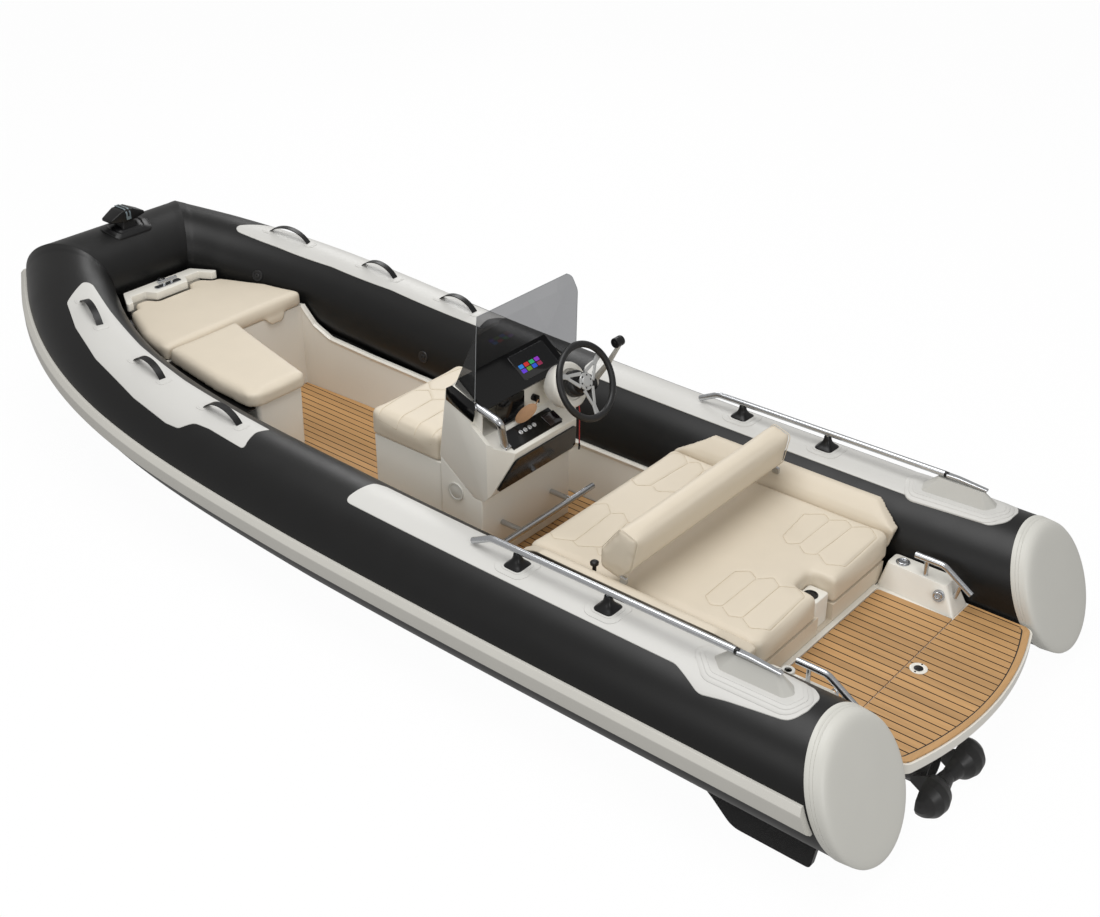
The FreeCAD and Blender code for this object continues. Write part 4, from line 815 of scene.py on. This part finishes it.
# Drain and speaker cover low on the console's port side: a ring round a flat grille.
ring_levels = [(0, 0), (4.5, 0), (6.0, 1.5), (6.0, 8.0), (4.0, 9.5), (3.6, 11.0), (4.6, 13.0), (4.8, 40.5)]
cover = stepped(disc(42, 64), ring_levels, (2199, 287.3, 350), (X, Z, Y))
skin("side_cover", [cover], pale_cap, "pale_rubber", ["speakers"])

# Steering wheel: black grip on a round rim, three forked alloy spokes bolted to a black boss.
tilt = math.radians(26.7)
wheel_axis = np.array([-math.cos(tilt), 0.0, math.sin(tilt)])
wheel_up = np.cross(Y, wheel_axis)
wheel_axes = (Y, wheel_up, wheel_axis)
wheel_centre = np.array([1843.0, -134.0, 818.0])
rim_radius = 155.0


def outwards(angle):
    """Direction from the wheel's centre: cos a Y + sin a up."""
    return np.cos(angle) * Y + np.sin(angle) * wheel_up


turn = np.linspace(0.0, 2 * math.pi, 145)[:, None]
rim_path = wheel_centre + rim_radius * outwards(turn)
hand = disc(1, 24) * [14.5, 13.0]
bulge = 1 + 0.05 * np.cos(3 * (turn[:, 0] - math.radians(30.0))) ** 8
rim = rim_path[:, None] + bulge[:, None, None] * (hand[None, :, :1] * outwards(turn)[:, None]
                                                  + hand[None, :, 1:] * wheel_axis)
grip = finish("wheel_grip", "#121213", 0.42, 0.12, 50, 0.4)
boss_levels = [(-86, 4), (-80, 0), (-50, 0), (-44, 3), (-38, 12), (-14, 15), (-10, 17)]
boss = stepped(disc(56, 48), boss_levels, wheel_centre, wheel_axes)
wheel_body = "steering_wheel_assembly"
skin("wheel_rim", [rim], grip, "black_plastic", ["steering_wheel"], wheel_body, closed=False)
skin("wheel_boss", [boss], grip, "black_plastic", body=wheel_body)
spokes = []
for angle in (30.0, 150.0, 270.0):
    outer = outwards(math.radians(angle))
    across_spoke = np.cross(wheel_axis, outer)
    for side in (1, -1):
        leg = [wheel_centre + outer * r + across_spoke * (side * w) - wheel_axis * d
               for r, w, d in ((30, 27, 3), (60, 18, 4.5), (98, 6.5, 6))]
        leg = spaced(np.array(leg), 4.0)
        spokes.append(swept(leg, box(-7, 7, -2.6, 2.6, 1.5), wheel_axis, np.linspace(1.15, 0.95, len(leg))))
    stem = spaced(np.array([wheel_centre + outer * r - wheel_axis * d for r, d in ((90, 6), (120, 7), (146, 7))]), 4.0)
    spokes.append(swept(stem, box(-11, 11, -2.8, 2.8, 1.8), wheel_axis, 1 + 0.35 * np.linspace(0, 1, len(stem)) ** 3))
hub_levels = [(-8, 1.5), (-6.5, 0), (-1.5, 0), (0, 1.5), (0, 14), (2.5, 15.5), (3, 18)]
spokes.append(stepped(disc(37, 48), hub_levels, wheel_centre, wheel_axes))
cowl = stepped(disc(98, 72), [(-196, 40), (-150, 6), (-104, 0), (-92, 2), (-87, 7), (-87, 30), (-94, 34), (-94, 60)],
               wheel_centre, wheel_axes)
skin("cowl", [cowl], gelcoat, "gelcoat", ["wheel_cowl"])
alloy = finish("wheel_alloy", "#b9bab9", 0.35, 0.04, 20, 0.1, 0.0002, metal=0.5)
skin("wheel_spokes", spokes, alloy, "anodised", body=wheel_body)
bolts = [stepped(disc(3.4, 12), [(-1, 0), (1.6, 0), (2.2, 0.8)],
                 wheel_centre + 27.5 * outwards(math.radians(60 * k)), wheel_axes) for k in range(6)]
black_piece("wheel_bolts", bolts, body=wheel_body)

# Throttle: pale tapered lever with a black knob, on the starboard side of the helm.
lever_path = softly([(1972, -346, 694), (1893, -347, 808), (1833, -346, 915)], 60, 5)
taper = np.linspace(1.45, 0.8, len(lever_path))
lever = swept(lever_path, box(-8, 8, -13, 13, 4), Y, taper)
lever_hub = stepped(disc(27, 36), [(0, 0), (18, 0), (21, 2.5)], (1972, -331.6, 694), (X, Z, -Y))
lever_paint = finish("lever_paint", "#b9b7b0", 0.38, 0.04, 20, 0.1, 0.0002)
skin("throttle_arm", [lever, lever_hub], lever_paint, "anodised", ["throttle_lever"], "throttle")
knob = stepped(disc(22, 40),
               [(0, 3), (3, 0), (16, 0), (18, 2), (21, 2), (23, 0), (43, 0), (46, 3), (46, 12), (50, 13)],
               (1833, -352, 929), (X, Z, Y))
black_piece("throttle_knob", [knob], body="throttle")


# Cushions: foam under cream vinyl, sewn over a board, so the covers stay pinned below and swell
# a little above. The aft seat and its bolsters lift as one lid.
def surface(mesh):
    """Positions and normals of a mesh's vertices, as rows of three."""
    where, facing = np.empty((2, len(mesh.vertices) * 3))
    mesh.vertices.foreach_get("co", where)
    mesh.vertex_normals.foreach_get("vector", facing)
    return where.reshape(-1, 3), facing.reshape(-1, 3)


def reshaped(mesh, where):
    """The mesh's vertices move to those places."""
    mesh.vertices.foreach_set("co", where.ravel())
    mesh.update()


def swollen(name, node, body, voxel=0.010, inset=0.0015, pressure=1.5, finer=0):
    """Copy of a CAD cushion, remeshed and blown up a little as cloth with its underside pinned."""
    mesh = nodes[node].data.copy()
    mesh.materials.clear()
    soft = bpy.data.objects.new(name, mesh)
    scene.collection.objects.link(soft)
    bpy.context.view_layer.objects.active = soft
    soft.select_set(True)
    with opened(mesh) as work:
        bmesh.ops.remove_doubles(work, verts=work.verts, dist=1e-5)
    given(soft.modifiers.new("regular", "REMESH"), mode="VOXEL", voxel_size=voxel)
    bpy.ops.object.modifier_apply(modifier="regular")
    where, facing = surface(mesh)
    slack = np.clip((where[:, 2] - where[:, 2].min() - 0.012) / 0.02, 0, 1)[:, None]
    start = where - facing * inset * slack
    reshaped(mesh, start)
    soft.vertex_groups.new(name="held").add(np.nonzero(slack[:, 0] < 1.0)[0].tolist(), 1.0, "REPLACE")
    cloth = soft.modifiers.new("cloth", "CLOTH")
    given(cloth.settings, quality=4, mass=0.2, tension_stiffness=12.0, compression_stiffness=12.0,
          bending_stiffness=1.5, vertex_group_mass="held", use_pressure=True, uniform_pressure_force=pressure)
    cloth.settings.effector_weights.gravity = 0.0
    given(cloth.point_cache, frame_start=1, frame_end=10)
    for number in range(1, 11):
        scene.frame_set(number)
    bpy.ops.object.modifier_apply(modifier="cloth")
    scene.frame_set(1)
    mesh = soft.data
    moved = surface(mesh)[0] - start
    far = np.linalg.norm(moved, axis=1, keepdims=True)
    moved *= np.minimum(1.0, (inset + 0.004) / np.maximum(far, 1e-9))
    reshaped(mesh, start + moved)
    with opened(mesh) as work:
        for _ in range(3):
            bmesh.ops.smooth_vert(work, verts=work.verts, factor=0.5, use_axis_x=True, use_axis_y=True, use_axis_z=True)
    if finer:
        given(soft.modifiers.new("finer", "SUBSURF"), levels=finer)
        bpy.ops.object.modifier_apply(modifier="finer")
        mesh = soft.data
    mesh.shade_smooth()
    soft.select_set(False)
    mesh.materials.append(vinyl)
    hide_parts(node)
    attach(soft, body)
    return soft


def quilted(name, soft, cells, body, depth=0.0035, width=0.0035):
    """Seams pressed into a cushion's top, z - depth exp(-(d / width)^2) at distance d, with thread on them.

    The first cell of each three is closed, the others start and end at the one before.
    """
    lines = [softly(points + points[:1] if k % 3 == 0 else points, 14.0, 6.0, 5) for k, points in enumerate(cells)]
    where, facing = surface(soft.data)
    starts = np.concatenate([line[:-1] for line in lines]) / 1000
    run = np.concatenate([line[1:] for line in lines]) / 1000 - starts
    top = np.nonzero(facing[:, 2] > 0.5)[0]
    reach = where[top, :2][:, None] - starts[None]
    at = np.clip((reach * run[None]).sum(-1) / (run ** 2).sum(-1), 0, 1)
    away = np.linalg.norm(reach - at[..., None] * run[None], axis=-1).min(1)
    where[top, 2] -= depth * np.exp(-(away / width) ** 2)
    reshaped(soft.data, where)
    tree = BVHTree.FromObject(soft, bpy.context.evaluated_depsgraph_get())
    grids = []
    for line in lines:
        heights = [tree.ray_cast(Vector((x / 1000, y / 1000, 2.0)), Vector((0, 0, -1)))[0] for x, y in line]
        path = np.array([(x, y, h.z * 1000.0 + 0.2) for (x, y), h in zip(line, heights) if h is not None])
        if len(path) > 2:
            grids.append(swept(path, box(-0.5, 0.5, -1.1, 1.1, 0.4), Z))
    skin(name, grids, sewing, "cream_vinyl", body=body)


aft_cells = [[(915, -370), (850, -424), (812, -395), (814, -177), (851, -141), (895, -179)],
             [(812, -397), (762, -439), (718, -408), (725, -149), (764, -127), (806, -160)],
             [(717, -409), (665, -456), (607, -406), (602, -155), (660, -114), (717, -155)],
             [(901, 145), (859, 106), (814, 133), (812, 361), (851, 383), (897, 349)],
             [(808, 133), (766, 87), (718, 124), (716, 375), (760, 398), (807, 367)],
             [(718, 124), (669, 77), (614, 115), (602, 371), (659, 412), (713, 379)]]
fore_cells = [[(1647, 131), (1567, 69), (1513, 118), (1497, 366), (1572, 405), (1627, 369)],
              [(1511, 117), (1473, 85), (1420, 126), (1391, 336), (1467, 388), (1504, 372)],
              [(1418, 128), (1376, 92), (1322, 134), (1296, 336), (1364, 388), (1400, 352)],
              [(1648, -402), (1565, -459), (1506, -404), (1519, -154), (1566, -122), (1615, -153)],
              [(1506, -412), (1469, -442), (1418, -396), (1395, -192), (1468, -137), (1501, -156)],
              [(1416, -398), (1372, -436), (1324, -396), (1300, -192), (1366, -137), (1398, -170)]]
seat_cells = [[(2679, 58), (2615, 5), (2543, 58), (2535, 297), (2597, 340), (2645, 307)],
              [(2541, 60), (2490, 16), (2440, 62), (2432, 290), (2486, 334), (2534, 296)],
              [(2438, 64), (2390, 22), (2342, 66), (2334, 284), (2384, 326), (2430, 290)]]
seat_cells += [[(x, -y) for x, y in points] for points in seat_cells]


vinyl = finish("cream_vinyl", "#d5cab7", 0.5, 0.03, 10, 0.35)
sewing = finish("sewing", "#c3b59a", 0.7, 0.06, 60, 0.3, 0.0002)
dress(vinyl, "seat_base")
aft_seat = swollen("aft_cushion", "aft_seat_cushion", "rear_seat", 0.011, finer=1)
quilted("aft_thread", aft_seat, aft_cells + fore_cells, "rear_seat")
swollen("side_bolsters", "seat_coamings", "rear_seat", 0.006, 0.001, 1.0)
swollen("back_bolster", "backrest", "back")
hexagon = rounded([(1169, 696), (1251, 584), (1251, 500), (1163, 480), (1113, 538), (1087, 669)], 20)
loop = spaced(np.concatenate([hexagon, hexagon[:1]]), 5.0)
loops = [swept(np.insert(loop, 1, y, axis=1), disc(1.8, 8), Y) for y in (514.0, -514.0)]
skin("back_piping", loops, vinyl, "cream_vinyl", body="back", closed=False)
hinge = rounded([(1130, 470, 5), (1130, 497, 6), (1160, 501, 6), (1160, 470, 5)])
pin = stepped(hinge, [(-4, 0), (7, 0), (9, 2)], 517 * Y, (X, Z, Y))
skin("back_hinges", both(pin), steel, "polished_steel", ["backrest_arms"], "back")
knobs = both(stepped(disc(8, 20), [(-14, 0), (12, 0)], (1290, 508, 470)),
             flared(1290, 508, 482, [(0, 11, 2), (3, 15, 2.6), (14, 16, 2.6), (18, 13, 2.2), (20, 6, 2)]))
black_piece("lock_knobs", knobs, body="rear_seat")
front_seat = swollen("front_cushion", "front_seat_cushion", "front_seat", finer=1)
quilted("front_thread", front_seat, seat_cells, "front_seat")
swollen("bow_cushion", "bow_lid_cushion", "bow_lid")
swollen("seat_side_cushion", "side_cushion", "boat")

size = {"first": [list(p) for p in first_box], "last": [list(p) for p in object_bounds()]}
